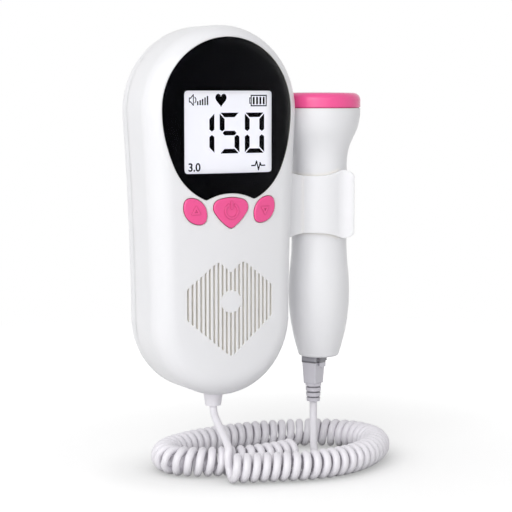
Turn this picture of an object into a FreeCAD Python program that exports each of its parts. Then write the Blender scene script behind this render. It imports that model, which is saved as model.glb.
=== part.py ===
"""Fetal doppler monitor: a hand-held display unit with a curly cord and a plugged-in probe in its side clip.

Frame: X to the right, Y towards the back, Z up, in millimetres. The origin is the centre of the flat
back, half-way up the display unit, so the front stands at Y = -housing_depth.
"""
import FreeCAD, Part

import math
import os
import re

import Sketcher

Vector = FreeCAD.Vector
doc = FreeCAD.newDocument("FetalDoppler")

# ---------------------------------------------------------------------------------------------------
# Driving dimensions
# ---------------------------------------------------------------------------------------------------

SIZES = (
    # display unit, outside
    ("upper_radius", 31.25, "radius of the housing's upper round"),
    ("upper_centre", 35.75, "height of the upper round's centre"),
    ("lower_radius", 28.3, "radius of the housing's lower round"),
    ("lower_centre", 40.2, "depth below the origin of the lower round's centre"),
    ("flank_radius", 1200.0, "radius of the slightly hollow flanks"),
    ("housing_depth", 30.0, "front to back, at the crown of the front"),
    ("crown_radius", 170.0, "radius of the crowned front"),
    ("shoulder_radius", 8.5, "rounding between front and flanks"),
    ("back_round", 6.0, "rounding between back and flanks"),
    ("shell_wall", 2.4, "wall of both shells"),
    ("seam_depth", 8.5, "where the shells part, from the back"),
    ("lip_height", 1.6, "height of the locating lip at the seam"),
    ("lip_play", 0.1, "play beside and over the lip"),
    # display window
    ("window_radius", 26.2, "radius of the window's top"),
    ("window_centre", 36.3, "height of that radius's centre"),
    ("window_side_radius", 50.0, "radius of the window's sides"),
    ("window_corner_radius", 22.0, "radius of the window's lower corners"),
    ("window_corner_x", 1.62, "distance of the corner radii's centres from the middle"),
    ("scallop_radius", 21.2, "radius of the scallop over the power button"),
    ("scallop_centre", 14.75, "depth below the origin of the scallop's centre"),
    ("cusp_round", 1.4, "rounding of the cusps"),
    ("lens_thickness", 1.2, "thickness of the clear lens"),
    ("mask_thickness", 0.25, "thickness of the black mask sheet"),
    ("tape_gap", 0.05, "adhesive film between lens, mask and ledge"),
    ("lens_play", 0.12, "play around the lens"),
    ("ledge_width", 2.2, "ledge that carries the lens"),
    # display stack
    ("view_width", 35.6, "visible width of the display"),
    ("view_height", 29.6, "visible height of the display"),
    ("view_centre", 28.5, "height of the display's centre"),
    ("glass_border", 1.5, "display glass beyond the visible area"),
    ("glass_thickness", 2.7, "two display glasses with polarisers"),
    ("light_thickness", 3.0, "light guide behind the display"),
    ("frame_wall", 1.2, "wall of the display frame"),
    ("frame_play", 0.15, "play between frame and display"),
    ("frame_height", 4.9, "display frame in front of the board"),
    # board
    ("board_setback", 9.4, "the board's front face, behind the crown of the front"),
    ("board_thickness", 1.6, "thickness of the main board"),
    ("board_radius", 23.0, "half width of the board and radius of its top"),
    ("board_bottom", 10.5, "depth below the origin of the board's lower edge"),
    ("board_corner", 3.0, "corner radius of the board"),
    # buttons
    ("button_play", 0.2, "play around each button"),
    ("button_rise", 0.5, "how far the buttons stand out"),
    ("button_flange", 0.8, "width of the flange that keeps a button in"),
    ("flange_thickness", 0.9, "thickness of that flange"),
    ("button_round", 0.6, "rounding of the buttons' edges"),
    ("press_travel", 0.8, "travel of a button"),
    ("power_half_width", 7.1, "half width of the power button"),
    ("power_top", 4.9, "height of the power button's upper edge"),
    ("power_tip", 6.2, "depth of the power button's tip"),
    ("power_top_radius", 17.0, "radius of the power button's upper edge"),
    ("power_side_radius", 19.0, "radius of the power button's sides"),
    ("power_corner_round", 3.0, "rounding of the power button's upper corners"),
    ("power_tip_round", 1.8, "rounding of the power button's tip"),
    ("petal_x", 14.1, "distance of the arrow buttons from the middle"),
    ("petal_z", 0.2, "height of the arrow buttons"),
    ("petal_half_width", 4.0, "half width of an arrow button"),
    ("petal_radius", 6.2, "radius of an arrow button's long sides"),
    ("petal_round", 2.4, "rounding of an arrow button's ends"),
    ("petal_tilt", 40.0, "lean of the arrow buttons in degrees"),
    ("symbol_width", 0.7, "width of the raised symbol lines"),
    ("symbol_rise", 0.25, "height of the raised symbols"),
    ("power_ring_radius", 2.9, "radius of the power symbol's ring"),
    ("arrow_radius", 2.1, "radius of the arrow symbols' corners"),
    ("stem_radius", 2.0, "radius of a button's stem"),
    ("switch_side", 6.0, "side of a tact switch"),
    ("switch_height", 3.5, "height of a tact switch"),
    ("plunger_radius", 1.6, "radius of a tact switch's plunger"),
    ("plunger_rise", 0.85, "plunger in front of its switch at rest"),
    ("plunger_depth", 1.2, "plunger inside its switch"),
    ("running_gap", 0.06, "running clearance of the plungers"),
    # loudspeaker and grille
    ("grille_z", 35.5, "depth below the origin of the loudspeaker's axis"),
    ("slot_count", 21, "number of upright slots in the grille"),
    ("slot_pitch", 1.7, "distance between the slots"),
    ("slot_width", 0.8, "width of a slot"),
    ("heart_half_width", 17.5, "half width of the heart of slots"),
    ("heart_lobe_x", 5.1, "distance of the heart's lobes from the middle"),
    ("heart_top", 18.1, "depth of the lobes' tops"),
    ("heart_notch", 22.4, "depth of the notch between the lobes"),
    ("heart_shoulder", 27.8, "depth where the sides begin"),
    ("heart_hip", 39.0, "depth where the sides end"),
    ("heart_tip", 53.4, "depth of the heart's tip"),
    ("heart_round", 2.0, "rounding of the lobes and the tip"),
    ("spot_radius", 4.1, "radius of the plain spot in the grille"),
    ("spot_z", 33.0, "depth of that spot's centre"),
    ("speaker_radius", 20.0, "radius of the loudspeaker"),
    ("speaker_setback", 4.7, "the loudspeaker's front face, behind the crown of the front"),
    ("speaker_rim", 1.0, "thickness of the loudspeaker's rim"),
    ("basket_depth", 4.4, "depth of the loudspeaker's basket"),
    ("basket_wall", 0.6, "wall of the basket"),
    ("magnet_radius", 9.0, "radius of the magnet pot"),
    ("magnet_thickness", 2.3, "thickness of the magnet pot"),
    ("cone_thickness", 0.3, "thickness of the cone"),
    ("cup_wall", 1.2, "wall of the cup that holds the loudspeaker"),
    ("cup_play", 0.25, "play around the loudspeaker"),
    ("cup_reach", 2.7, "reach of the cup behind the loudspeaker's front face"),
    ("gasket_width", 1.2, "width of the foam gasket"),
    # battery bay
    ("cell_radius", 7.1, "radius of an AA cell"),
    ("cell_length", 50.0, "length of an AA cell with its nub"),
    ("cell_spacing", 14.8, "distance between the two cells"),
    ("nub_radius", 2.75, "radius of a cell's nub"),
    ("nub_height", 1.0, "height of a cell's nub"),
    ("cell_back", 2.1, "from the back plane to the cells"),
    ("bay_play", 0.5, "play around the cells"),
    ("bay_wall", 1.4, "wall of the battery bay"),
    ("bay_centre", 22.5, "depth below the origin of the bay's centre"),
    ("spring_length", 4.2, "length of a compressed battery spring"),
    ("spring_sheet", 0.4, "thickness of the battery springs"),
    ("spring_half", 5.0, "half the foot of a battery spring"),
    ("spring_width", 6.0, "width of a battery spring"),
    ("contact_thickness", 0.4, "thickness of the battery contacts"),
    ("cover_width", 36.6, "width of the battery cover"),
    ("cover_height", 61.6, "height of the battery cover"),
    ("cover_thickness", 1.5, "thickness of the battery cover"),
    ("cover_corner", 4.0, "corner radius of the battery cover"),
    ("cover_play", 0.15, "play around the battery cover"),
    ("notch_radius", 5.0, "radius of the finger notch in the cover"),
    ("notch_depth", 0.8, "depth of the finger notch"),
    ("notch_width", 16.0, "width of the finger notch"),
    ("peg_radius", 0.8, "radius of the cover's pegs"),
    ("peg_length", 1.6, "length of the cover's pegs"),
    ("peg_x", 12.0, "distance of the pegs from the middle"),
    ("peg_inset", 0.95, "distance of the pegs from the bay's walls"),
    # case screws
    ("upper_screw_x", 21.0, "upper case screws, from the middle"),
    ("upper_screw_z", 51.5, "upper case screws, height"),
    ("lower_screw_x", 16.5, "lower case screws, from the middle"),
    ("lower_screw_z", 58.0, "lower case screws, depth"),
    ("boss_radius", 2.7, "radius of the front shell's screw bosses"),
    ("rear_boss_radius", 3.5, "radius of the rear shell's screw tubes"),
    ("screw_radius", 1.2, "radius of the case screws"),
    ("screw_head_radius", 2.1, "radius of the case screws' heads"),
    ("screw_head_height", 1.5, "height of the case screws' heads"),
    ("screw_length", 12.0, "length of the case screws under the head"),
    ("screw_sink", 4.5, "depth of the counterbores"),
    ("hole_play", 0.2, "play of screws in their holes"),
    # board screws
    ("board_screw_x", 20.5, "board screws, from the middle"),
    ("board_screw_upper", 8.0, "upper board screws, height"),
    ("board_screw_lower", 7.4, "lower board screws, depth"),
    ("small_screw_radius", 0.85, "radius of the board screws"),
    ("small_head_radius", 1.7, "radius of the board screws' heads"),
    ("small_head_height", 1.1, "height of the board screws' heads"),
    ("small_screw_length", 5.0, "length of the board screws"),
    ("small_boss_radius", 2.1, "radius of the board bosses"),
    ("thread_play", 0.05, "clearance of a thread in its boss"),
    ("post_x", 14.0, "rear posts behind the board, from the middle"),
    ("post_z", 49.0, "rear posts behind the board, height"),
    ("post_radius", 2.0, "radius of the rear posts"),
    # earphone socket
    ("jack_radius", 1.8, "radius of the earphone socket's bore"),
    ("jack_nose_radius", 3.0, "radius of the socket's nose"),
    ("jack_length", 14.0, "length of the socket's bore"),
    ("jack_body", 6.4, "side of the socket's body"),
    ("jack_sink", 0.3, "how far the nose lies below the top"),
    ("jack_end", 1.2, "closed end of the socket's body"),
    # cord and its relief
    ("cord_diameter", 2.6, "diameter of the cord"),
    ("coil_diameter", 10.9, "outside diameter of the curly part"),
    ("relief_y", 15.5, "distance of the cord's exit in front of the back"),
    ("relief_collar", 3.75, "radius of the relief's collar"),
    ("relief_end", 2.95, "radius of the relief's end"),
    ("relief_length", 5.0, "visible length of the relief"),
    ("relief_neck", 2.7, "radius of the relief in the wall"),
    ("relief_flange", 4.4, "radius of the relief's inner flange"),
    ("flange_height", 1.6, "height of the relief's inner flange"),
    ("relief_play", 0.1, "play of the relief in its hole"),
    # probe
    ("probe_x", 47.5, "probe axis, from the middle"),
    ("probe_y", 13.0, "probe axis, in front of the back"),
    ("head_radius", 15.6, "radius of the probe's head"),
    ("head_top", 36.8, "height of the head's upper edge"),
    ("head_skirt", 36.0, "height where the head starts to narrow"),
    ("neck_radius", 10.6, "radius of the probe's neck"),
    ("neck_top", 16.0, "height of the neck's upper end"),
    ("neck_bottom", 14.0, "depth of the neck's lower end"),
    ("grip_radius", 11.7, "largest radius of the grip"),
    ("grip_z", 33.8, "depth of the grip's largest radius"),
    ("foot_radius", 8.0, "radius of the probe's foot"),
    ("foot_z", 57.4, "depth of the foot's edge"),
    ("probe_bottom", 58.8, "depth of the probe's lower end"),
    ("probe_floor", 55.4, "depth of the floor inside the probe"),
    ("probe_wall", 1.8, "wall of the probe"),
    ("cap_height", 5.8, "height of the pink cap ring"),
    ("cap_round", 2.8, "rounding of the cap ring"),
    ("cap_wall", 3.0, "width of the cap ring round the sensing face"),
    ("cap_ledge", 0.9, "width of the ledge that carries the sensing face"),
    ("cap_play", 0.1, "play between the cap ring's skirt and the head"),
    ("cap_groove", 0.4, "height and depth of the shadow groove under the cap ring"),
    ("cap_skirt", 1.5, "length of the cap ring's skirt inside the head"),
    ("face_rise", 0.3, "how far the sensing face stands above the cap"),
    ("face_thickness", 1.6, "thickness of the sensing face"),
    ("seat_gap", 0.05, "gap between glued pieces"),
    ("disc_margin", 2.0, "sensing face beyond the split transducer disc"),
    ("disc_thickness", 1.0, "thickness of the transducer discs"),
    ("disc_split", 1.0, "gap between the two half discs"),
    ("backing_depth", 9.0, "depth of the backing block"),
    ("probe_board_width", 11.0, "width of the probe's board"),
    ("probe_board_thickness", 1.0, "thickness of the probe's board"),
    # plug
    ("plug_shift_x", 2.0, "plug axis, left of the probe axis"),
    ("plug_shift_y", 0.5, "plug axis, behind the probe axis"),
    ("plug_width", 7.5, "width of the plug's housing"),
    ("plug_depth", 6.6, "depth of the plug's housing"),
    ("plug_height", 10.6, "height of the plug's housing"),
    ("plug_taper", 0.6, "how much each side of the plug narrows"),
    ("plug_round", 0.7, "rounding of the plug's edges"),
    ("plug_turn", 26.5, "turn of the plug about its own axis in degrees"),
    ("plug_gap", 0.15, "gap between plug and probe"),
    ("nose_width", 5.2, "width of the plug's nose"),
    ("nose_depth", 4.4, "depth of the plug's nose"),
    ("nose_height", 7.0, "height of the plug's nose"),
    ("nose_play", 0.1, "play of the nose in the socket"),
    ("nose_end_play", 0.3, "play at the nose's end"),
    ("socket_wall", 0.8, "wall of the socket"),
    ("contact_count", 4, "contacts of the plug"),
    ("contact_pitch", 1.1, "distance between the contacts"),
    ("contact_width", 0.5, "width of a contact"),
    ("contact_depth", 0.6, "depth of a plug contact"),
    ("contact_height", 3.0, "height of a contact"),
    ("contact_inset", 0.6, "distance of the contacts from the nose's end"),
    ("latch_width", 3.2, "width of the plug's latch"),
    ("latch_plate", 0.9, "thickness of the plug's latch"),
    ("latch_length", 3.9, "length of the plug's latch"),
    ("latch_gap", 0.35, "gap between the latch and the plug's housing"),
    ("latch_pin", 0.45, "radius of the latch's pin"),
    ("latch_pin_drop", 0.8, "distance of the pin from the plug's upper edge"),
    ("ear_width", 0.8, "width of the ears that hold the latch's pin"),
    ("ear_gap", 0.1, "play between the latch and the ears"),
    ("boot_length", 7.1, "length of the plug's boot"),
    ("boot_radius", 3.1, "radius of the boot's upper rib"),
    ("boot_end", 2.6, "radius of the boot's lower rib"),
    ("boot_ribs", 3, "number of grooves in the boot"),
    ("boot_pitch", 2.0, "distance between the boot's grooves"),
    ("boot_groove", 0.6, "height of a groove in the boot"),
    ("boot_waist", 0.5, "depth of the grooves between the ribs"),
    # clip
    ("clip_radius", 10.95, "inner radius of the clip"),
    ("clip_wall", 2.0, "wall of the clip"),
    ("clip_centre", 0.6, "height of the clip's centre"),
    ("clip_root_half", 12.2, "half height of the clip at its root"),
    ("clip_tab_half", 12.9, "half height of the clip at its lip"),
    ("clip_root_x", 31.0, "where the clip's waist begins, from the middle"),
    ("clip_tab_x", 50.0, "where the clip's waist ends, from the middle"),
    ("clip_waist_radius", 26.0, "radius of the waist's edges"),
    ("clip_straight", 0.3, "straight part of the front arm past the probe's axis"),
    ("clip_flare_radius", 5.6, "outer radius of the flared front lip"),
    ("clip_flare", 72.0, "turn of the flared front lip in degrees"),
    ("clip_back_reach", 5.0, "reach of the rear arm past the probe's axis"),
    ("clip_reach", 5.6, "reach of the clip past the probe's axis"),
    ("clip_corner", 2.6, "corner radius of the lips"),
    ("clip_edge", 0.8, "rounding of the lips' edges"),
    ("clip_base", 13.0, "width of the clip's base"),
    ("clip_gap", 0.05, "gap between clip and housing"),
    ("clip_screw_z", 6.0, "clip screws, above and below the clip's centre"),
    ("clip_screw_length", 7.5, "length of the clip screws"),
    ("clip_seat", 26.3, "inner seats of the clip screws, from the middle"),
    ("clip_seat_radius", 2.8, "radius of those seats"),
)

sizes = doc.addObject("Spreadsheet::Sheet", "Sizes")
for row, (alias, value, note) in enumerate(SIZES, start=1):
    sizes.set(f"A{row}", note)
    sizes.set(f"B{row}", str(value))
    sizes.setAlias(f"B{row}", alias)
doc.recompute()

ALIASES = {alias for alias, value, note in SIZES}


# ---------------------------------------------------------------------------------------------------
# Modelling helpers
# ---------------------------------------------------------------------------------------------------

def linked(expression):
    """The expression with each alias written as a reference to the sheet."""
    def reference(match):
        word = match.group(0)
        return f"Sizes.{word}" if word in ALIASES else word
    return re.sub(r"[a-z][a-z_]*", reference, str(expression))


def mm(expression):
    """The value of an expression over the sheet's aliases."""
    return float(sizes.evalExpression(linked(expression)))


def bind(item, prop, expression):
    item.setExpression(prop, linked(expression))


def place(item, x="0", y="0", z="0", turn=None):
    """Set an object's Placement, its position bound to the sheet."""
    item.Placement = FreeCAD.Placement(Vector(mm(x), mm(y), mm(z)), turn or FreeCAD.Rotation())
    for axis, expression in (("x", x), ("y", y), ("z", z)):
        bind(item, f"Placement.Base.{axis}", expression)
    return item


FORWARD = FreeCAD.Rotation(Vector(1, 0, 0), 90)      # local Z turned to -Y
RIGHTWARD = FreeCAD.Rotation(Vector(0, 1, 0), 90)    # local Z turned to +X


def box(name, x, y, z, width, depth, height):
    """A box from its lowest corner."""
    item = doc.addObject("Part::Box", name)
    for prop, expression in (("Length", width), ("Width", depth), ("Height", height)):
        bind(item, prop, expression)
    return place(item, x, y, z)


def centred_box(name, x, y, z, width, depth, height):
    """A box centred on x and z that runs back from y."""
    return box(name, f"{x} - ({width}) / 2", y, f"{z} - ({height}) / 2", width, depth, height)


def rod(name, radius, length, x, y, z, turn=None):
    """A cylinder from the centre of its base, upright or along the given turn."""
    item = doc.addObject("Part::Cylinder", name)
    bind(item, "Radius", radius)
    bind(item, "Height", length)
    return place(item, x, y, z, turn)


def fuse(name, *pieces):
    item = doc.addObject("Part::MultiFuse", name)
    item.Shapes = list(pieces)
    item.Refine = True
    return item


def common(name, *pieces):
    item = doc.addObject("Part::MultiCommon", name)
    item.Shapes = list(pieces)
    item.Refine = True
    return item


def cut(name, base, *tools):
    item = doc.addObject("Part::Cut", name)
    item.Base = base
    item.Tool = tools[0] if len(tools) == 1 else fuse(name + "_tools", *tools)
    item.Refine = True
    return item


def group(name, *pieces):
    """Separate solids kept in one node."""
    item = doc.addObject("Part::Compound", name)
    item.Links = list(pieces)
    return item


def new_body(name):
    return doc.addObject("PartDesign::Body", name)


def sketch_on(body, role, name, offset="0"):
    """A sketch on one of the body's own origin planes, moved along that plane's normal."""
    sketch = body.newObject("Sketcher::SketchObject", name)
    plane = next(item for item in body.Origin.OriginFeatures if item.Role == role)
    sketch.AttachmentSupport = [(plane, "")]
    sketch.MapMode = "FlatFace"
    sketch.AttachmentOffset = FreeCAD.Placement(Vector(0, 0, mm(offset)), FreeCAD.Rotation())
    bind(sketch, "AttachmentOffset.Base.z", offset)
    return sketch


def hold(sketch, constraint, expression):
    """Add a dimension to a sketch and bind it to the sheet."""
    index = sketch.addConstraint(constraint)
    bind(sketch, f"Constraints[{index}]", expression)


def draw(sketch, points):
    """A closed outline. Each point is (x, y) or (x, y, radius): the side that follows it is then an arc,
    bulging to the right of the way forward for a positive radius and to the left for a negative one."""
    spots = [Vector(mm(point[0]), mm(point[1]), 0) for point in points]
    first = sketch.GeometryCount
    starts = []
    for index, point in enumerate(points):
        start, end = spots[index], spots[(index + 1) % len(spots)]
        if len(point) == 2:
            sketch.addGeometry(Part.LineSegment(start, end), False)
            starts.append((1, 2))
            continue
        radius = mm(point[2])
        chord = end - start
        right = Vector(chord.y, -chord.x, 0).normalize()
        inward = math.copysign(math.sqrt(radius ** 2 - (chord.Length / 2) ** 2), -radius)
        centre = start + chord * 0.5 + right * inward
        begin = math.atan2(start.y - centre.y, start.x - centre.x)
        finish = math.atan2(end.y - centre.y, end.x - centre.x)
        circle = Part.Circle(centre, Vector(0, 0, 1), abs(radius))
        if radius > 0:
            sketch.addGeometry(Part.ArcOfCircle(circle, begin, finish), False)
            starts.append((1, 2))
        else:
            sketch.addGeometry(Part.ArcOfCircle(circle, finish, begin), False)
            starts.append((2, 1))
    count = len(points)
    for index in range(count):
        here, after = first + index, first + (index + 1) % count
        sketch.addConstraint(Sketcher.Constraint(
            "Coincident", here, starts[index][1], after, starts[(index + 1) % count][0]))
    for index, point in enumerate(points):
        here, end = first + index, starts[index][0]
        hold(sketch, Sketcher.Constraint("DistanceX", -1, 1, here, end, spots[index].x), point[0])
        hold(sketch, Sketcher.Constraint("DistanceY", -1, 1, here, end, spots[index].y), point[1])
        if len(point) == 3:
            hold(sketch, Sketcher.Constraint("Radius", here, abs(mm(point[2]))), f"abs({point[2]})")


def pad(body, sketch, length, reverse=False, middle=False):
    feature = body.newObject("PartDesign::Pad", sketch.Name + "_pad")
    feature.Profile = sketch
    feature.Reversed = reverse
    feature.SideType = "Symmetric" if middle else "One side"
    bind(feature, "Length", length)
    sketch.Visibility = False
    return feature


def pocket_through(body, sketch):
    """Cut the sketch's outline right through the body, both ways."""
    feature = body.newObject("PartDesign::Pocket", sketch.Name + "_pocket")
    feature.Profile = sketch
    feature.SideType = "Symmetric"
    feature.Type = "ThroughAll"
    return feature


def revolve(body, sketch):
    """Turn a sketch about its own vertical axis."""
    feature = body.newObject("PartDesign::Revolution", sketch.Name + "_turned")
    feature.Profile = sketch
    feature.ReferenceAxis = (sketch, ["V_Axis"])
    feature.Angle = 360
    return feature


def round_edges(body, base, radius, wanted):
    """Fillet the edges of the last feature that the test picks out."""
    doc.recompute()
    names = [f"Edge{index}" for index, edge in enumerate(base.Shape.Edges, start=1) if wanted(edge)]
    feature = body.newObject("PartDesign::Fillet", base.Name + "_round")
    feature.Base = (base, names)
    bind(feature, "Radius", radius)
    return feature


def prism(name, points, y_front, thickness, rounding=None, wanted=None):
    """A plate whose outline is drawn in X and Z, from its front face back."""
    body = new_body(name)
    sketch = sketch_on(body, "XZ_Plane", name + "_outline", y_front)
    draw(sketch, points)
    feature = pad(body, sketch, thickness, reverse=True)
    if rounding:
        round_edges(body, feature, rounding, wanted or along(Vector(0, 1, 0)))
    return body


def turned(name, points, x="0", y="0", z="0", turn=None):
    """A piece turned on a lathe: points are radius and height about its own upright axis."""
    body = new_body(name)
    sketch = sketch_on(body, "XZ_Plane", name + "_profile")
    draw(sketch, points)
    revolve(body, sketch)
    return place(body, x, y, z, turn)


def along(direction):
    """A test for straight edges along a direction."""
    def test(edge):
        if not isinstance(edge.Curve, (Part.Line, Part.LineSegment)):
            return False
        ends = edge.Vertexes[-1].Point - edge.Vertexes[0].Point
        return ends.Length > 0 and abs(ends.normalize().dot(direction)) > 0.999
    return test


def on_plane(axis, expression):
    """A test for edges that lie in the plane where the axis has the given value."""
    value = mm(expression)

    def test(edge):
        low = getattr(edge.BoundBox, axis + "Min")
        high = getattr(edge.BoundBox, axis + "Max")
        return abs(low - value) < 0.01 and abs(high - value) < 0.01
    return test


# ---------------------------------------------------------------------------------------------------
# Outlines made of arcs
# ---------------------------------------------------------------------------------------------------

def crossing(first, reach, second, other):
    """The point at a distance from each of two centres, to the right of the way between them."""
    way = second - first
    apart = way.Length
    ahead = (reach ** 2 - other ** 2 + apart ** 2) / (2 * apart)
    aside = math.sqrt(reach ** 2 - ahead ** 2)
    way.normalize()
    return first + way * ahead + Vector(way.y, -way.x, 0) * aside


def arc_loop(sketch, inset, arcs, corners=()):
    """A closed outline of arcs, counterclockwise, drawn in by the inset.

    Each arc is (centre, radius, x, y): a negative radius is a hollow arc, and x and y bind the centre,
    or are None where the tangents place it. An arc listed in corners meets the next at a corner."""
    signed = [mm(f"{radius} - ({inset})") for centre, radius, x, y in arcs]
    leaving = [2 if radius > 0 else 1 for radius in signed]
    joints = []
    for index, (centre, radius, x, y) in enumerate(arcs):
        following = (index + 1) % len(arcs)
        near, far, after = signed[index], signed[following], arcs[following][0]
        if index in corners:
            joints.append(crossing(centre, abs(near), after, abs(far)))
        else:
            joints.append(centre + (after - centre) * (near / (near - far)))
    for index, (centre, radius, x, y) in enumerate(arcs):
        start, end = joints[index - 1], joints[index]
        if signed[index] < 0:
            start, end = end, start
        circle = Part.Circle(centre, Vector(0, 0, 1), abs(signed[index]))
        begin = math.atan2(start.y - centre.y, start.x - centre.x)
        finish = math.atan2(end.y - centre.y, end.x - centre.x)
        sketch.addGeometry(Part.ArcOfCircle(circle, begin, finish), False)
    for index in range(len(arcs)):
        following = (index + 1) % len(arcs)
        kind = "Coincident" if index in corners else "Tangent"
        sketch.addConstraint(Sketcher.Constraint(
            kind, index, leaving[index], following, 3 - leaving[following]))
    for index, (centre, radius, x, y) in enumerate(arcs):
        hold(sketch, Sketcher.Constraint("Radius", index, abs(signed[index])), f"abs({radius} - ({inset}))")
        if x is not None:
            hold(sketch, Sketcher.Constraint("DistanceX", -1, 1, index, 3, centre.x), x)
        if y is not None:
            hold(sketch, Sketcher.Constraint("DistanceY", -1, 1, index, 3, centre.y), y)


def housing_outline(sketch, inset):
    """Two rounds joined by two slightly hollow flanks."""
    top = Vector(0, mm("upper_centre"), 0)
    bottom = Vector(0, -mm("lower_centre"), 0)
    left = crossing(top, mm("upper_radius + flank_radius"), bottom, mm("lower_radius + flank_radius"))
    arc_loop(sketch, inset, (
        (top, "upper_radius", "0", "upper_centre"),
        (left, "-flank_radius", None, None),
        (bottom, "lower_radius", "0", "-lower_centre"),
        (Vector(-left.x, left.y, 0), "-flank_radius", None, None),
    ))


def window_outline(sketch, inset):
    """A round top, flatter sides, round lower corners and a scallop between two cusps."""
    centre = mm("window_centre")
    side = mm("window_side_radius - window_radius")
    corner = mm("window_corner_x")
    drop = math.sqrt(mm("window_side_radius - window_corner_radius") ** 2 - (side + corner) ** 2)
    arc_loop(sketch, inset, (
        (Vector(0, centre, 0), "window_radius", "0", "window_centre"),
        (Vector(side, centre, 0), "window_side_radius", None, "window_centre"),
        (Vector(-corner, centre - drop, 0), "window_corner_radius", "-window_corner_x", None),
        (Vector(0, -mm("scallop_centre"), 0), "-scallop_radius", "0", "-scallop_centre"),
        (Vector(corner, centre - drop, 0), "window_corner_radius", "window_corner_x", None),
        (Vector(-side, centre, 0), "window_side_radius", None, "window_centre"),
    ), corners=(2, 3))


def power_outline(sketch, inset):
    """A rounded triangle with its tip down and three bulging sides."""
    top = Vector(0, mm("power_top - power_top_radius"), 0)
    out = mm("power_half_width - power_corner_round")
    up = top.y + math.sqrt(mm("power_top_radius - power_corner_round") ** 2 - out ** 2)
    corner = Vector(-out, up, 0)
    tip = Vector(0, -mm("power_tip - power_tip_round"), 0)
    side = crossing(tip, mm("power_side_radius - power_tip_round"),
                    corner, mm("power_side_radius - power_corner_round"))
    arc_loop(sketch, inset, (
        (top, "power_top_radius", "0", "power_top - power_top_radius"),
        (corner, "power_corner_round", "power_corner_round - power_half_width", None),
        (side, "power_side_radius", None, None),
        (tip, "power_tip_round", "0", "power_tip_round - power_tip"),
        (Vector(-side.x, side.y, 0), "power_side_radius", None, None),
        (Vector(out, up, 0), "power_corner_round", "power_half_width - power_corner_round", None),
    ))


def petal_outline(sketch, inset):
    """Two long arcs with rounded ends, upright."""
    flat = mm("petal_radius - petal_half_width")
    end = math.sqrt(mm("petal_radius - petal_round") ** 2 - flat ** 2)
    arc_loop(sketch, inset, (
        (Vector(-flat, 0, 0), "petal_radius", "petal_half_width - petal_radius", "0"),
        (Vector(0, end, 0), "petal_round", None, None),
        (Vector(flat, 0, 0), "petal_radius", "petal_radius - petal_half_width", "0"),
        (Vector(0, -end, 0), "petal_round", None, None),
    ))


def outline_prism(name, outline, inset, start, length):
    """A prism with one of these outlines, from its distance to the back forward."""
    body = new_body(name)
    sketch = sketch_on(body, "XZ_Plane", name + "_outline", start)
    outline(sketch, inset)
    pad(body, sketch, length)
    return body


# ---------------------------------------------------------------------------------------------------
# Forms of the housing and of its window
# ---------------------------------------------------------------------------------------------------

def housing_form(name, inset):
    """The whole housing drawn in by an inset: crowned front, rounded shoulders, rounded back."""
    body = outline_prism(name, housing_outline, inset, inset, f"housing_depth - 2 * ({inset})")
    crown = sketch_on(body, "XY_Plane", name + "_crown")
    reach = "(upper_radius + 5)"
    radius = f"(crown_radius - ({inset}))"
    edge = f"crown_radius - housing_depth - sqrt({radius} ^ 2 - {reach} ^ 2)"
    beyond = "-housing_depth - 10"
    draw(crown, (
        (f"-{reach}", edge, radius),
        (reach, edge),
        (reach, beyond),
        (f"-{reach}", beyond),
    ))
    crowned = pocket_through(body, crown)
    doc.recompute()
    front = max(crowned.Shape.Faces, key=lambda face: -face.CenterOfMass.y)
    rim = [edge.hashCode() for edge in front.Edges]
    shouldered = round_edges(body, crowned, f"shoulder_radius - ({inset})",
                             lambda edge: edge.hashCode() in rim)
    round_edges(body, shouldered, f"back_round - ({inset})", on_plane("Y", f"-({inset})"))
    return body


def window_prism(name, inset):
    """The window's outline with rounded cusps, from the board's depth through the front."""
    body = outline_prism(name, window_outline, inset, BOARD_FRONT, "housing_depth")
    apex = mm(f"scallop_radius + ({inset}) - scallop_centre")
    forward = along(Vector(0, 1, 0))
    round_edges(body, body.Tip, "cusp_round", lambda edge: forward(edge) and edge.BoundBox.ZMax < apex)
    return body


def crown_space(name, rise):
    """All that lies behind the housing's crown raised by a height."""
    return rod(name, f"crown_radius + {rise}", "300", "0", "crown_radius - housing_depth", "-150")


def ceiling(reach):
    """Depth of the inner face of the front at a distance from the middle."""
    return f"(housing_depth - crown_radius + sqrt((crown_radius - shell_wall) ^ 2 - ({reach}) ^ 2))"


def forward_rod(name, radius, x, z, start, end):
    """A rod along the view's direction, from a depth forward to another."""
    return rod(name, radius, f"({end}) - ({start})", x, f"-({start})", z, FORWARD)


def pairs(x, z):
    """The two places left and right of the middle."""
    return (("left", f"-{x}", z), ("right", x, z))


PIECES = []


def publish(item, name):
    """Name a finished sub-part; its name is also its file's name."""
    item.Label = name
    PIECES.append(item)
    return item


# ---------------------------------------------------------------------------------------------------
# Shared places
# ---------------------------------------------------------------------------------------------------

LENS_SEAT = "(lens_thickness + mask_thickness + 2 * tape_gap)"
BOARD_FRONT = "(housing_depth - board_setback)"
BOARD_BACK = f"({BOARD_FRONT} - board_thickness)"
SPEAKER_FRONT = "(housing_depth - speaker_setback)"
CUP_EDGE = f"({SPEAKER_FRONT} - cup_reach)"
JACK_Y = f"({BOARD_BACK} - jack_body / 2)"
JACK_TOP = "(upper_centre + upper_radius - jack_sink)"
BAY_HALF = "(cell_spacing / 2 + cell_radius + bay_play)"
BAY_FRONT = "(cell_back + 2 * cell_radius + bay_play)"
BAY_LENGTH = "(cell_length + spring_length + 2 * contact_thickness)"
SWITCH_FRONT = f"({BOARD_FRONT} + switch_height)"
POWER_FLANGE = f"({ceiling('power_half_width + button_flange')} - seat_gap)"
PETAL_REACH = ("petal_x + petal_radius + button_flange"
               " - (petal_radius - petal_half_width) * cos(petal_tilt * 1 deg)")
PETAL_FLANGE = f"({ceiling(PETAL_REACH)} - seat_gap)"
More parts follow.
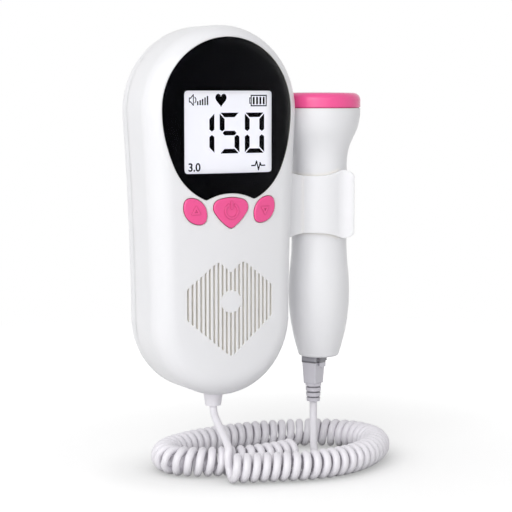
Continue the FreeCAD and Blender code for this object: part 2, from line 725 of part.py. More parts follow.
CASE_SCREWS = pairs("upper_screw_x", "upper_screw_z") + pairs("lower_screw_x", "-lower_screw_z")
BOARD_SCREWS = pairs("board_screw_x", "board_screw_upper") + pairs("board_screw_x", "-board_screw_lower")
CLIP_SCREWS = (("upper", "clip_centre + clip_screw_z"), ("lower", "clip_centre - clip_screw_z"))


def tilted(side):
    """The turn of an arrow button: its upper end leans outwards."""
    return FreeCAD.Rotation(Vector(0, 1, 0), side * mm("petal_tilt"))


def button_prisms(stem, inset, start, length):
    """The outlines of the three buttons as prisms."""
    power = outline_prism(f"power_{stem}", power_outline, inset, start, length)
    petals = []
    for word, side in (("up", -1), ("down", 1)):
        petal = outline_prism(f"{word}_{stem}", petal_outline, inset, start, length)
        petals.append(place(petal, f"{side} * petal_x", "0", "petal_z", tilted(side)))
    return [power] + petals


# ---------------------------------------------------------------------------------------------------
# Housing: front and rear shell
# ---------------------------------------------------------------------------------------------------

outer_form = housing_form("outer_form", "0")
cavity_form = housing_form("cavity_form", "shell_wall")
shell_blank = cut("shell_blank", outer_form, cavity_form)


def make_grille():
    """Upright slots inside the outline of a heart, broken by a plain round spot."""
    notch = mm("-heart_notch")

    def lobe_or_tip(edge):
        return along(Vector(0, 1, 0))(edge) and abs(edge.BoundBox.Center.z - notch) > 1

    heart = prism("heart", (
        ("0", "-heart_notch"),
        ("-heart_lobe_x", "-heart_top"),
        ("-heart_half_width", "-heart_shoulder"),
        ("-heart_half_width", "-heart_hip"),
        ("0", "-heart_tip"),
        ("heart_half_width", "-heart_hip"),
        ("heart_half_width", "-heart_shoulder"),
        ("heart_lobe_x", "-heart_top"),
    ), "2 * housing_depth", f"2 * housing_depth - {SPEAKER_FRONT}", "heart_round", lobe_or_tip)
    spot = forward_rod("spot", "spot_radius", "0", "-spot_z", BOARD_FRONT, "3 * housing_depth")
    bars = []
    for index in range(int(mm("slot_count"))):
        x = f"({index} - (slot_count - 1) / 2) * slot_pitch"
        bars.append(centred_box(f"slot_{index + 1}", x, "-2 * housing_depth", "-grille_z", "slot_width",
                                f"2 * housing_depth - {SPEAKER_FRONT}", "4 * heart_half_width"))
    return common("grille_slots", group("slot_bars", *bars), cut("heart_field", heart, spot))


def make_front_shell():
    space = box("front_space", "-100", "-2 * housing_depth", "-150", "200", "2 * housing_depth - seam_depth",
                "300")
    filling = [common("front_wall", shell_blank, space)]
    for index, (side, x, z) in enumerate(CASE_SCREWS):
        filling.append(forward_rod(f"case_boss_{index + 1}", "boss_radius", x, z,
                                   "seam_depth + seat_gap", "housing_depth"))
    for index, (side, x, z) in enumerate(BOARD_SCREWS):
        filling.append(forward_rod(f"board_boss_{index + 1}", "small_boss_radius", x, z,
                                   BOARD_FRONT, "housing_depth"))
    filling.append(cut(
        "speaker_cup",
        forward_rod("cup_outside", "speaker_radius + cup_play + cup_wall", "0", "-grille_z", CUP_EDGE,
                    "housing_depth"),
        forward_rod("cup_inside", "speaker_radius + cup_play", "0", "-grille_z", CUP_EDGE,
                    "housing_depth")))
    for word, z in CLIP_SCREWS:
        filling.append(rod(f"{word}_clip_pad", "clip_seat_radius", "upper_radius - clip_seat",
                           "clip_seat", "-probe_y", z, RIGHTWARD))
    solid = common("front_solid", outer_form, fuse("front_filling", *filling))

    tools = [
        cut("rebate",
            outline_prism("rebate_outside", housing_outline, "shell_wall / 2", "seam_depth",
                          "lip_height + lip_play"),
            outline_prism("rebate_inside", housing_outline, "shell_wall + lip_play", "seam_depth",
                          "lip_height + lip_play")),
        cut("window_recess", window_prism("recess_prism", "-lens_play"),
            housing_form("seat_form", LENS_SEAT)),
        window_prism("window_opening", "ledge_width"),
        make_grille(),
        rod("jack_hole", "jack_nose_radius + relief_play", "upper_radius", "0", f"-{JACK_Y}", "upper_centre"),
        rod("relief_hole", "relief_neck + relief_play", "lower_radius", "0", "-relief_y",
            "-lower_centre - lower_radius"),
    ]
    tools += button_prisms("opening", "-button_play", BOARD_FRONT, "housing_depth")
    for index, (side, x, z) in enumerate(CASE_SCREWS):
        tools.append(forward_rod(f"case_pilot_{index + 1}", "screw_radius + thread_play", x, z,
                                 "seam_depth", "screw_sink + screw_length + hole_play"))
    for index, (side, x, z) in enumerate(BOARD_SCREWS):
        tools.append(forward_rod(f"board_pilot_{index + 1}", "small_screw_radius + thread_play", x, z,
                                 BOARD_FRONT, f"{BOARD_BACK} + small_screw_length + hole_play"))
    for word, z in CLIP_SCREWS:
        tools.append(rod(f"{word}_clip_hole", "screw_radius + hole_play", "upper_radius - clip_seat + 5",
                         "clip_seat - 1", "-probe_y", z, RIGHTWARD))
    return publish(cut("front_shell", solid, *tools), "front_shell")


def plate(name, width, height, z, corner, depth, thickness):
    """A plate with rounded corners, centred on the middle, from a depth back."""
    half = f"({width}) / 2"
    low, high = f"({z}) - ({height}) / 2", f"({z}) + ({height}) / 2"
    return prism(name, ((f"-{half}", low), (half, low), (half, high), (f"-{half}", high)), depth, thickness,
                 corner)


def peg_places():
    rows = (f"-bay_centre + {BAY_LENGTH} / 2 + bay_wall + peg_inset",
            f"-bay_centre - {BAY_LENGTH} / 2 - bay_wall - peg_inset")
    return [spot for z in rows for spot in pairs("peg_x", z)]


def make_rear_shell():
    space = box("rear_space", "-100", "-seam_depth", "-150", "200", "2 * housing_depth", "300")
    filling = [
        common("rear_wall", shell_blank, space),
        cut("lip",
            outline_prism("lip_outside", housing_outline, "shell_wall / 2 + lip_play",
                          "seam_depth - lip_height", "2 * lip_height"),
            outline_prism("lip_inside", housing_outline, "shell_wall", "seam_depth - lip_height",
                          "2 * lip_height")),
        centred_box("bay_walls", "0", f"-({BAY_FRONT} + bay_wall)", "-bay_centre",
                    f"2 * ({BAY_HALF} + bay_wall)", f"{BAY_FRONT} + bay_wall - cover_thickness",
                    f"{BAY_LENGTH} + 2 * bay_wall"),
    ]
    for index, (side, x, z) in enumerate(CASE_SCREWS):
        filling.append(forward_rod(f"case_tube_{index + 1}", "rear_boss_radius", x, z, "0", "seam_depth"))
    for side, x, z in pairs("post_x", "post_z"):
        filling.append(forward_rod(f"{side}_post", "post_radius", x, z, "shell_wall / 2", BOARD_BACK))
    solid = common("rear_solid", outer_form, fuse("rear_filling", *filling))

    tools = [
        plate("cover_recess", "cover_width + 2 * cover_play", "cover_height + 2 * cover_play",
              "-bay_centre", "cover_corner + cover_play", "cover_thickness", "housing_depth"),
        centred_box("bay_space", "0", f"-{BAY_FRONT}", "-bay_centre", f"2 * {BAY_HALF}", "housing_depth",
                    BAY_LENGTH),
    ]
    for index, (side, x, z) in enumerate(CASE_SCREWS):
        tools.append(forward_rod(f"case_hole_{index + 1}", "screw_radius + hole_play", x, z,
                                 "0", "housing_depth"))
        tools.append(forward_rod(f"counterbore_{index + 1}", "screw_head_radius + hole_play", x, z,
                                 "-screw_sink", "screw_sink"))
    for index, (side, x, z) in enumerate(peg_places()):
        tools.append(forward_rod(f"peg_hole_{index + 1}", "peg_radius + relief_play", x, z,
                                 "0", "seam_depth"))
    return publish(cut("rear_shell", solid, *tools), "rear_shell")


make_front_shell()
make_rear_shell()


# ---------------------------------------------------------------------------------------------------
# Display: lens, mask, glass, light guide, frame
# ---------------------------------------------------------------------------------------------------

def make_display():
    window = window_prism("window_body", "0")
    lens = cut("display_window", common("lens_blank", window, outer_form),
               housing_form("lens_form", "lens_thickness"))
    publish(lens, "display_window")

    view = centred_box("mask_opening", "0", "-2 * housing_depth", "view_centre", "view_width",
                       "2 * housing_depth", "view_height")
    mask = cut("window_mask",
               common("mask_blank", window, housing_form("mask_front_form", "lens_thickness + tape_gap")),
               housing_form("mask_back_form", "lens_thickness + tape_gap + mask_thickness"), view)
    publish(mask, "window_mask")

    width, height = "view_width + 2 * glass_border", "view_height + 2 * glass_border"
    light_front = f"({BOARD_FRONT} + light_thickness)"
    publish(centred_box("backlight", "0", f"-{light_front}", "view_centre", width, "light_thickness",
                        height), "backlight")
    publish(centred_box("lcd_panel", "0", f"-({light_front} + glass_thickness)", "view_centre", width,
                        "glass_thickness", height), "lcd_panel")

    play, wall = "2 * frame_play", "2 * (frame_play + frame_wall)"
    outside = centred_box("frame_outside", "0", f"-{BOARD_FRONT} - frame_height", "view_centre",
                          f"{width} + {wall}", "frame_height", f"{height} + {wall}")
    inside = centred_box("frame_inside", "0", f"-{BOARD_FRONT} - 2 * frame_height", "view_centre",
                         f"{width} + {play}", "3 * frame_height", f"{height} + {play}")
    publish(cut("lcd_frame", outside, inside), "lcd_frame")


make_display()


# ---------------------------------------------------------------------------------------------------
# Main board with its chips, switches and screws
# ---------------------------------------------------------------------------------------------------

SWITCHES = (("power", "0", "0"), ("up", "-petal_x", "petal_z"), ("down", "petal_x", "petal_z"))
CHIPS = (
    ("processor", 0, 30, 11, 11, 1.2),
    ("amplifier", 12, 16, 6.5, 5, 1.4),
    ("receiver", -12, 17, 7.5, 6, 1.4),
    ("memory", -11, 33, 5, 6, 1.2),
    ("crystal", 12.5, 29, 4.6, 3.2, 1.8),
    ("regulator", 12, 41, 5, 4, 1.5),
)


def make_board():
    body = new_body("board_blank")
    sketch = sketch_on(body, "XZ_Plane", "board_outline", BOARD_BACK)
    draw(sketch, (
        ("-board_radius", "-board_bottom"),
        ("board_radius", "-board_bottom"),
        ("board_radius", "upper_centre", "board_radius"),
        ("0", "upper_centre + board_radius", "board_radius"),
        ("-board_radius", "upper_centre"),
    ))
    blank = pad(body, sketch, "board_thickness")
    lower = mm("-board_bottom")
    round_edges(body, blank, "board_corner",
                lambda edge: along(Vector(0, 1, 0))(edge) and abs(edge.BoundBox.ZMax - lower) < 0.01)
    holes = [forward_rod(f"board_hole_{index + 1}", "small_screw_radius + hole_play", x, z, "0",
                         "housing_depth") for index, (side, x, z) in enumerate(BOARD_SCREWS)]
    publish(cut("main_board", body, *holes), "main_board")


def make_chips():
    chips = []
    for word, x, z, width, height, rise in CHIPS:
        chips.append(centred_box(f"{word}_chip", str(x), f"-{BOARD_BACK}", str(z), str(width), str(rise),
                                 str(height)))
    publish(group("board_chips", *chips), "board_chips")


def make_switches():
    housings = []
    for word, x, z in SWITCHES:
        case = centred_box(f"{word}_switch_case", x, f"-{SWITCH_FRONT}", z, "switch_side", "switch_height",
                           "switch_side")
        bore = forward_rod(f"{word}_switch_bore", "plunger_radius + running_gap", x, z,
                           f"{SWITCH_FRONT} - plunger_depth - press_travel - seat_gap",
                           f"{SWITCH_FRONT} + seat_gap")
        housings.append(cut(f"{word}_switch", case, bore))
        publish(forward_rod(f"{word}_plunger", "plunger_radius", x, z, f"{SWITCH_FRONT} - plunger_depth",
                            f"{SWITCH_FRONT} + plunger_rise"), f"{word}_plunger")
    publish(group("tact_switches", *housings), "tact_switches")


def make_screws(name, places, radius, head_radius, head_height, seat, length):
    """Identical screws: the head behind its seat, the shank forward."""
    screws = []
    for index, (side, x, z) in enumerate(places):
        head = forward_rod(f"{name}_head_{index + 1}", head_radius, x, z, f"({seat}) - ({head_height})", seat)
        shank = forward_rod(f"{name}_shank_{index + 1}", radius, x, z, seat, f"({seat}) + ({length})")
        screws.append(fuse(f"{name}_{index + 1}", head, shank))
    publish(group(name, *screws), name)


make_board()
make_chips()
make_switches()
make_screws("board_screws", BOARD_SCREWS, "small_screw_radius", "small_head_radius", "small_head_height",
            BOARD_BACK, "small_screw_length")
make_screws("case_screws", CASE_SCREWS, "screw_radius", "screw_head_radius", "screw_head_height",
            "screw_sink", "screw_length")


# ---------------------------------------------------------------------------------------------------
# Buttons
# ---------------------------------------------------------------------------------------------------

def make_button(name, blank, flange, flange_front, x, z, symbol):
    """A crowned cap with a flange that keeps it in, a stem to its switch and a raised symbol."""
    crowned = common(f"{name}_crowned", blank, crown_space(f"{name}_crown", "button_rise"))
    doc.recompute()
    front = max(crowned.Shape.Faces, key=lambda face: -face.CenterOfMass.y)
    rim = [edge.hashCode() for edge in front.Edges]
    rounded = doc.addObject("Part::Fillet", f"{name}_cap")
    rounded.Base = crowned
    radius = mm("button_round")
    rounded.Edges = [(index, radius, radius) for index, edge in enumerate(crowned.Shape.Edges, start=1)
                     if edge.hashCode() in rim]
    stem = forward_rod(f"{name}_stem", "stem_radius", x, z, f"{SWITCH_FRONT} + plunger_rise", flange_front)
    raised = common(f"{name}_symbol", symbol,
                    crown_space(f"{name}_symbol_crown", "button_rise + symbol_rise"))
    publish(fuse(name, rounded, flange, stem, raised), name)


def power_symbol():
    """A ring open at the top with an upright bar."""
    start = "housing_depth - button_rise"
    outside = forward_rod("ring_outside", "power_ring_radius", "0", "0", start, "2 * housing_depth")
    inside = forward_rod("ring_inside", "power_ring_radius - symbol_width", "0", "0", "0",
                         "3 * housing_depth")
    gap = centred_box("ring_gap", "0", "-3 * housing_depth", "power_ring_radius", "3 * symbol_width",
                      "3 * housing_depth", "power_ring_radius")
    bar = centred_box("power_bar", "0", "-2 * housing_depth", "power_ring_radius / 2 + symbol_width",
                      "symbol_width", f"2 * housing_depth - ({start})", "power_ring_radius")
    return group("power_symbol_lines", cut("power_ring", outside, inside, gap), bar)


def arrow_symbol(name, side):
    """A hollow triangle, upright whatever the button's own lean."""
    points = []
    for scale in ("arrow_radius", "(arrow_radius - 2 * symbol_width)"):
        points.append([
            (f"{side} * petal_x", f"petal_z - {side} * {scale}"),
            (f"{side} * petal_x + {side} * {scale} * cos(30 deg)", f"petal_z + {side} * {scale} / 2"),
            (f"{side} * petal_x - {side} * {scale} * cos(30 deg)", f"petal_z + {side} * {scale} / 2"),
        ])
    body = new_body(name)
    sketch = sketch_on(body, "XZ_Plane", name + "_outline", "housing_depth - 2")
    for triangle in points:
        draw(sketch, triangle)
    pad(body, sketch, "housing_depth")
    return body


def make_buttons():
    flange_back = {"power": f"{POWER_FLANGE} - flange_thickness",
                   "petal": f"{PETAL_FLANGE} - flange_thickness"}
    blank = outline_prism("power_blank", power_outline, "0", flange_back["power"], "housing_depth / 2")
    flange = outline_prism("power_flange", power_outline, "-button_flange", flange_back["power"],
                           "flange_thickness")
    make_button("power_button", blank, flange, POWER_FLANGE, "0", "0", power_symbol())
    for word, side in (("up", -1), ("down", 1)):
        x = f"{side} * petal_x"
        blank = outline_prism(f"{word}_blank", petal_outline, "0", flange_back["petal"], "housing_depth / 2")
        flange = outline_prism(f"{word}_flange", petal_outline, "-button_flange", flange_back["petal"],
                               "flange_thickness")
        for piece in (blank, flange):
            place(piece, x, "0", "petal_z", tilted(side))
        make_button(f"{word}_button", blank, flange, PETAL_FLANGE, x, "petal_z",
                    arrow_symbol(f"{word}_arrow", side))


make_buttons()


# ---------------------------------------------------------------------------------------------------
# Loudspeaker
# ---------------------------------------------------------------------------------------------------

def make_speaker():
    """Basket, cone and magnet pot turned about the loudspeaker's axis, with a gasket to the grille."""
    back = f"({SPEAKER_FRONT} - basket_depth)"
    lip = "(speaker_radius - gasket_width)"
    seat = "(magnet_radius + basket_wall)"
    drop = "(basket_depth - speaker_rim)"
    frame = turned("speaker_frame", (
        ("magnet_radius / 2", "0"),
        (seat, "0"),
        (lip, drop),
        ("speaker_radius", drop),
        ("speaker_radius", "basket_depth"),
        (f"{lip} - basket_wall", "basket_depth"),
        (f"{lip} - basket_wall", f"{drop} + basket_wall"),
        (f"{seat} - basket_wall", "basket_wall"),
        ("magnet_radius / 2", "basket_wall"),
    ), "0", f"-{back}", "-grille_z", FORWARD)
    publish(frame, "speaker_frame")

    edge = f"({lip} - basket_wall)"
    cone = turned("speaker_cone", (
        ("0", "basket_depth - speaker_rim"),
        ("magnet_radius / 2", "basket_wall + cone_thickness"),
        (edge, "basket_depth - cone_thickness"),
        (edge, "basket_depth"),
        ("magnet_radius / 2", "basket_wall + 2 * cone_thickness"),
        ("0", "basket_depth - speaker_rim + cone_thickness"),
    ), "0", f"-{back}", "-grille_z", FORWARD)
    publish(cone, "speaker_cone")

    publish(forward_rod("speaker_magnet", "magnet_radius", "0", "-grille_z",
                        f"{back} - magnet_thickness", back), "speaker_magnet")
    gasket = cut("gasket_blank",
                 forward_rod("gasket_outside", "speaker_radius", "0", "-grille_z", SPEAKER_FRONT,
                             "housing_depth"),
                 forward_rod("gasket_inside", "speaker_radius - gasket_width", "0", "-grille_z", "0",
                             "2 * housing_depth"))
    publish(common("speaker_gasket", gasket, cavity_form), "speaker_gasket")


make_speaker()


# ---------------------------------------------------------------------------------------------------
# Batteries, contacts and the battery cover
# ---------------------------------------------------------------------------------------------------

CELL_Y = "(cell_back + cell_radius)"
BAY_TOP = f"(-bay_centre + {BAY_LENGTH} / 2)"
BAY_FOOT = f"(-bay_centre - {BAY_LENGTH} / 2)"


def make_batteries():
    """The left cell stands with its nub up, the right one with its nub down."""
    x, y = "cell_spacing / 2", f"-{CELL_Y}"
    can = "(cell_length - nub_height)"
    left_foot = f"{BAY_FOOT} + contact_thickness + spring_length"
    left = fuse("battery_left", rod("left_can", "cell_radius", can, f"-{x}", y, left_foot),
                rod("left_nub", "nub_radius", "nub_height", f"-{x}", y, f"{left_foot} + {can}"))
    right_foot = f"{BAY_FOOT} + contact_thickness"
    right = fuse("battery_right", rod("right_can", "cell_radius", can, x, y, f"{right_foot} + nub_height"),
                 rod("right_nub", "nub_radius", "nub_height", x, y, right_foot))
    publish(left, "battery_left")
    publish(right, "battery_right")


def make_springs():
    """Bowed leaf springs: one under the left cell and one over the right cell."""
    outer = "((spring_half ^ 2 + spring_length ^ 2) / (2 * spring_length))"
    inner = ("(((spring_half - spring_sheet) ^ 2 + (spring_length - spring_sheet) ^ 2)"
             " / (2 * (spring_length - spring_sheet)))")
    springs = []
    for word, side, z in (("left", -1, f"{BAY_FOOT} + contact_thickness"),
                          ("right", 1, f"{BAY_TOP} - contact_thickness")):
        x = f"{side} * cell_spacing / 2"
        springs.append(prism(f"{word}_spring", (
            (f"{x} - {side} * spring_half", z, outer),
            (f"{x} + {side} * spring_half", z),
            (f"{x} + {side} * (spring_half - spring_sheet)", z, f"-{inner}"),
            (f"{x} - {side} * (spring_half - spring_sheet)", z),
        ), f"{CELL_Y} + spring_width / 2", "spring_width"))
    publish(group("battery_springs", *springs), "battery_springs")


def make_contacts():
    """Two single plates at the top of the bay and one that joins both cells at its foot."""
    side = "1.5 * cell_radius"
    y = f"-{CELL_Y} - ({side}) / 2"
    plates = [
        box("left_contact", f"-cell_spacing / 2 - ({side}) / 2", y, f"{BAY_TOP} - contact_thickness",
            side, side, "contact_thickness"),
        box("right_contact", f"cell_spacing / 2 - ({side}) / 2", y, f"{BAY_TOP} - contact_thickness",
            side, side, "contact_thickness"),
        box("joint_contact", f"-cell_spacing / 2 - ({side}) / 2", y, BAY_FOOT,
            f"cell_spacing + ({side})", side, "contact_thickness"),
    ]
    publish(group("battery_plates", *plates), "battery_plates")


def make_cover():
    """A flush plate with a finger notch at its upper end and four locating pegs."""
    blank = plate("cover_blank", "cover_width", "cover_height", "-bay_centre", "cover_corner",
                  "cover_thickness", "cover_thickness")
    pegs = [forward_rod(f"cover_peg_{index + 1}", "peg_radius", x, z, "cover_thickness / 2",
                        "cover_thickness + peg_length") for index, (side, x, z) in enumerate(peg_places())]
    notch = rod("finger_notch", "notch_radius", "notch_width", "-notch_width / 2",
                "notch_radius - notch_depth", "cover_height / 2 - bay_centre - 2 * notch_radius", RIGHTWARD)
    publish(cut("battery_cover", fuse("cover_pegged", blank, *pegs), notch), "battery_cover")


make_batteries()
make_springs()
make_contacts()
make_cover()


# ---------------------------------------------------------------------------------------------------
# Earphone socket and cord relief
# ---------------------------------------------------------------------------------------------------

def make_jack():
    """A square body on the board's back with a round nose through the upper wall."""
    foot = f"({JACK_TOP} - jack_length - jack_end)"
    shoulder = "(upper_centre + sqrt((upper_radius - shell_wall) ^ 2 - (jack_body / 2) ^ 2) - seat_gap)"
    case = centred_box("jack_case", "0", f"-{BOARD_BACK}", f"({foot} + {shoulder}) / 2", "jack_body",
                       "jack_body", f"{shoulder} - {foot}")
    nose = rod("jack_nose", "jack_nose_radius", f"{JACK_TOP} - {foot} - jack_end", "0", f"-{JACK_Y}",
               f"{foot} + jack_end")
    bore = rod("jack_bore", "jack_radius", "2 * jack_length", "0", f"-{JACK_Y}", f"{foot} + jack_end")
    publish(cut("headphone_jack", fuse("jack_solid", case, nose), bore), "headphone_jack")


def make_relief():
    """A tapered collar outside, a neck in the wall and a flange inside."""
    bottom = "(lower_centre + lower_radius)"
    collar = cut("relief_collar",
                 turned("collar_blank", (
                     ("0", "-relief_length"),
                     ("relief_end", "-relief_length"),
                     ("relief_collar", "0"),
                     ("relief_collar", "shell_wall / 2"),
                     ("0", "shell_wall / 2"),
                 ), "0", "-relief_y", f"-{bottom}"),
                 outer_form)
    neck = rod("relief_neck", "relief_neck", "2 * shell_wall", "0", "-relief_y",
               f"-{bottom} - shell_wall / 2")
    flange = common("relief_flange",
                    rod("flange_blank", "relief_flange", "shell_wall + flange_height", "0", "-relief_y",
                        f"-{bottom}"),
                    cavity_form)
    publish(fuse("cord_relief", collar, neck, flange), "cord_relief")


make_jack()
make_relief()


# ---------------------------------------------------------------------------------------------------
# Probe
# ---------------------------------------------------------------------------------------------------

FOOT_EDGE = "(probe_bottom - foot_z)"
FOOT_BEND = "(((foot_z - grip_z) ^ 2 + (grip_radius - foot_radius) ^ 2) / (2 * (grip_radius - foot_radius)))"
LOWER_BEND = ("(((grip_z - neck_bottom) ^ 2 + (grip_radius - neck_radius) ^ 2)"
              " / (4 * (grip_radius - neck_radius)))")
UPPER_BEND = ("(((head_skirt - neck_top) ^ 2 + (head_radius - neck_radius) ^ 2)"
              " / (4 * (head_radius - neck_radius)))")
CAP_TOP = "(head_top + cap_height)"
CAP_INNER = "(head_radius - cap_wall)"
DISC_RADIUS = f"({CAP_INNER} - disc_margin)"
FACE_SEAT = f"({CAP_TOP} + face_rise - face_thickness)"
BACKING_FOOT = f"({FACE_SEAT} - disc_thickness - backing_depth)"


def probe_turned(name, points):
    return turned(name, points, "probe_x", "-probe_y")


def probe_side(inset):
    """The probe's side from the grip up to the head: two smooth steps, each of two tangent arcs."""
    return (
        (f"grip_radius - ({inset})", "-grip_z", LOWER_BEND),
        (f"(grip_radius + neck_radius) / 2 - ({inset})", "-(grip_z + neck_bottom) / 2", f"-{LOWER_BEND}"),
        (f"neck_radius - ({inset})", "-neck_bottom"),
        (f"neck_radius - ({inset})", "neck_top", f"-{UPPER_BEND}"),
        (f"(neck_radius + head_radius) / 2 - ({inset})", "(neck_top + head_skirt) / 2", UPPER_BEND),
        (f"head_radius - ({inset})", "head_skirt"),
    )


def make_probe_shell():
    outside = probe_turned("probe_outside", (
        ("0", "-probe_bottom"),
        (f"foot_radius - {FOOT_EDGE}", "-probe_bottom", FOOT_EDGE),
        ("foot_radius", "-foot_z", FOOT_BEND),
    ) + probe_side("0") + (
        ("head_radius", "head_top"),
        ("0", "head_top"),
    ))
    floor_radius = (f"grip_radius - probe_wall - {FOOT_BEND}"
                    f" + sqrt({FOOT_BEND} ^ 2 - (probe_floor - grip_z) ^ 2)")
    inside = probe_turned("probe_inside", (
        ("0", "-probe_floor"),
        (floor_radius, "-probe_floor", FOOT_BEND),
    ) + probe_side("probe_wall") + (
        ("head_radius - probe_wall", "head_top + cap_height"),
        ("0", "head_top + cap_height"),
    ))
    opening = plug_block("nose_opening", "0", "0", "-probe_bottom - 1", "nose_width + 2 * nose_play",
                         "nose_depth + 2 * nose_play", "probe_bottom - probe_floor + 2")
    publish(cut("probe_shell", outside, inside, opening), "probe_shell")


def make_probe_head():
    """The cap ring with a shadow groove, the face on its ledge, the split transducer and its backing."""
    ledge = f"({CAP_INNER} - cap_ledge)"
    skirt = "(head_radius - probe_wall - cap_play)"
    publish(probe_turned("probe_ring", (
        (ledge, "head_top - cap_skirt"),
        (skirt, "head_top - cap_skirt"),
        (skirt, "head_top"),
        ("head_radius - cap_groove", "head_top"),
        ("head_radius - cap_groove", "head_top + cap_groove"),
        ("head_radius", "head_top + cap_groove"),
        ("head_radius", f"{CAP_TOP} - cap_round", "cap_round"),
        ("head_radius - cap_round", CAP_TOP),
        (CAP_INNER, CAP_TOP),
        (CAP_INNER, FACE_SEAT),
        (ledge, FACE_SEAT),
    )), "probe_ring")
    publish(probe_turned("probe_face", (
        ("0", FACE_SEAT),
        (f"{CAP_INNER} - seat_gap", FACE_SEAT),
        (f"{CAP_INNER} - seat_gap", CAP_TOP,
         f"(({CAP_INNER} - seat_gap) ^ 2 + face_rise ^ 2) / (2 * face_rise)"),
        ("0", f"{CAP_TOP} + face_rise"),
    )), "probe_face")
    disc = rod("disc_blank", DISC_RADIUS, "disc_thickness", "probe_x", "-probe_y",
               f"{FACE_SEAT} - disc_thickness")
    split = box("disc_gap", "probe_x - disc_split / 2", "-2 * housing_depth", f"{FACE_SEAT} - disc_thickness",
                "disc_split", "4 * housing_depth", "disc_thickness")
    publish(cut("transducer_discs", disc, split), "transducer_discs")
    publish(rod("probe_backing", DISC_RADIUS, "backing_depth", "probe_x", "-probe_y", BACKING_FOOT),
            "probe_backing")
    foot = f"-({SOCKET_TOP})"
    publish(box("probe_board", "probe_x - probe_board_width / 2", "-probe_y - probe_board_thickness / 2",
                foot, "probe_board_width", "probe_board_thickness", f"{BACKING_FOOT} - ({foot})"),
            "probe_board")


# ---------------------------------------------------------------------------------------------------
# Plug and its socket, upright about the plug's own axis with the latch in front, then turned
# ---------------------------------------------------------------------------------------------------

PLUG_X = "(probe_x - plug_shift_x)"
PLUG_Y = "(plug_shift_y - probe_y)"
PLUG_TOP = "(-probe_bottom - plug_gap)"
NOSE_TOP = f"({PLUG_TOP} + nose_height)"
SOCKET_TOP = f"-({NOSE_TOP} + nose_end_play + socket_wall)"
BOOT_TOP = f"({PLUG_TOP} - plug_height)"
PIN_Y = "(-plug_depth / 2 - latch_gap - latch_plate / 2)"
PIN_Z = f"({PLUG_TOP} - latch_pin_drop)"


def at_plug(item):
    return place(item, PLUG_X, PLUG_Y, "0", FreeCAD.Rotation(Vector(0, 0, 1), mm("plug_turn")))


def rectangle(sketch, x, y, width, depth):
    left, right = f"({x}) - ({width}) / 2", f"({x}) + ({width}) / 2"
    front, back = f"({y}) - ({depth}) / 2", f"({y}) + ({depth}) / 2"
    draw(sketch, ((left, front), (right, front), (right, back), (left, back)))


def plug_block(name, x, y, z, width, depth, height):
    """A block centred on x and y in the plug's own directions, from z upwards."""
    body = new_body(name)
    sketch = sketch_on(body, "XY_Plane", name + "_outline", z)
    rectangle(sketch, x, y, width, depth)
    pad(body, sketch, height)
    return at_plug(body)


def contact_places():
    return [(index + 1, f"({index} - (contact_count - 1) / 2) * contact_pitch")
            for index in range(int(mm("contact_count")))]


def make_plug_housing():
    """A tapered block with a nose for the socket and two ears for the latch."""
    body = new_body("plug_taper")
    upper = sketch_on(body, "XY_Plane", "plug_upper", PLUG_TOP)
    rectangle(upper, "0", "0", "plug_width", "plug_depth")
    lower = sketch_on(body, "XY_Plane", "plug_lower", BOOT_TOP)
    rectangle(lower, "0", "0", "plug_width - 2 * plug_taper", "plug_depth - 2 * plug_taper")
    loft = body.newObject("PartDesign::AdditiveLoft", "plug_loft")
    loft.Profile = upper
    loft.Sections = [lower]
    loft.Ruled = True
    top, bottom = mm(PLUG_TOP), mm(BOOT_TOP)
    round_edges(body, loft, "plug_round",
                lambda edge: abs(edge.BoundBox.ZMax - top) < 0.01 and abs(edge.BoundBox.ZMin - bottom) < 0.01)
    pieces = [at_plug(body),
              plug_block("plug_nose", "0", "0", f"{PLUG_TOP} - plug_round", "nose_width", "nose_depth",
                         "nose_height + plug_round")]
    tools = []
    for index, x in contact_places():
        tools.append(contact_block(f"contact_slot_{index}", x))
    for word, side in (("left", -1), ("right", 1)):
        x = f"{side} * (latch_width / 2 + ear_gap + ear_width / 2)"
        depth = "(latch_gap + latch_plate + 1.5 * plug_taper)"
        pieces.append(plug_block(f"{word}_ear", x, f"{PIN_Y} - latch_plate / 2 + {depth} / 2",
                                 f"{PIN_Z} - latch_plate", "ear_width", depth,
                                 "latch_plate + latch_pin_drop"))
    hole = doc.addObject("Part::Cylinder", "latch_hole")
    bind(hole, "Radius", "latch_pin + running_gap")
    bind(hole, "Height", "latch_width + 4 * ear_width")
    tools.append(across_plug(hole, "latch_width / 2 + 2 * ear_width"))
    publish(cut("plug_housing", fuse("plug_solid", *pieces), *tools), "plug_housing")


def across_plug(cylinder, half):
    """Lay a cylinder along the latch's pin, centred on the plug."""
    turn = FreeCAD.Rotation(Vector(0, 0, 1), mm("plug_turn"))
    start = turn.multVec(Vector(-mm(half), mm(PIN_Y), 0))
    cylinder.Placement = FreeCAD.Placement(
        Vector(mm(PLUG_X) + start.x, mm(PLUG_Y) + start.y, mm(PIN_Z)), turn.multiply(RIGHTWARD))
    return cylinder


def contact_block(name, x):
    return plug_block(name, x, "nose_depth / 2 - contact_depth / 2",
                      f"{NOSE_TOP} - contact_inset - contact_height", "contact_width", "contact_depth",
                      "contact_height")


def pin_block(name, x):
    return plug_block(name, x, "nose_depth / 2 + nose_play + socket_wall / 2",
                      f"{NOSE_TOP} - contact_inset - contact_height / 2", "contact_width", "socket_wall",
                      "contact_height / 2")


def make_plug_contacts():
    contacts = [contact_block(f"contact_{index}", x) for index, x in contact_places()]
    publish(group("plug_contacts", *contacts), "plug_contacts")
    pins = [pin_block(f"pin_{index}", x) for index, x in contact_places()]
    publish(group("probe_pins", *pins), "probe_pins")


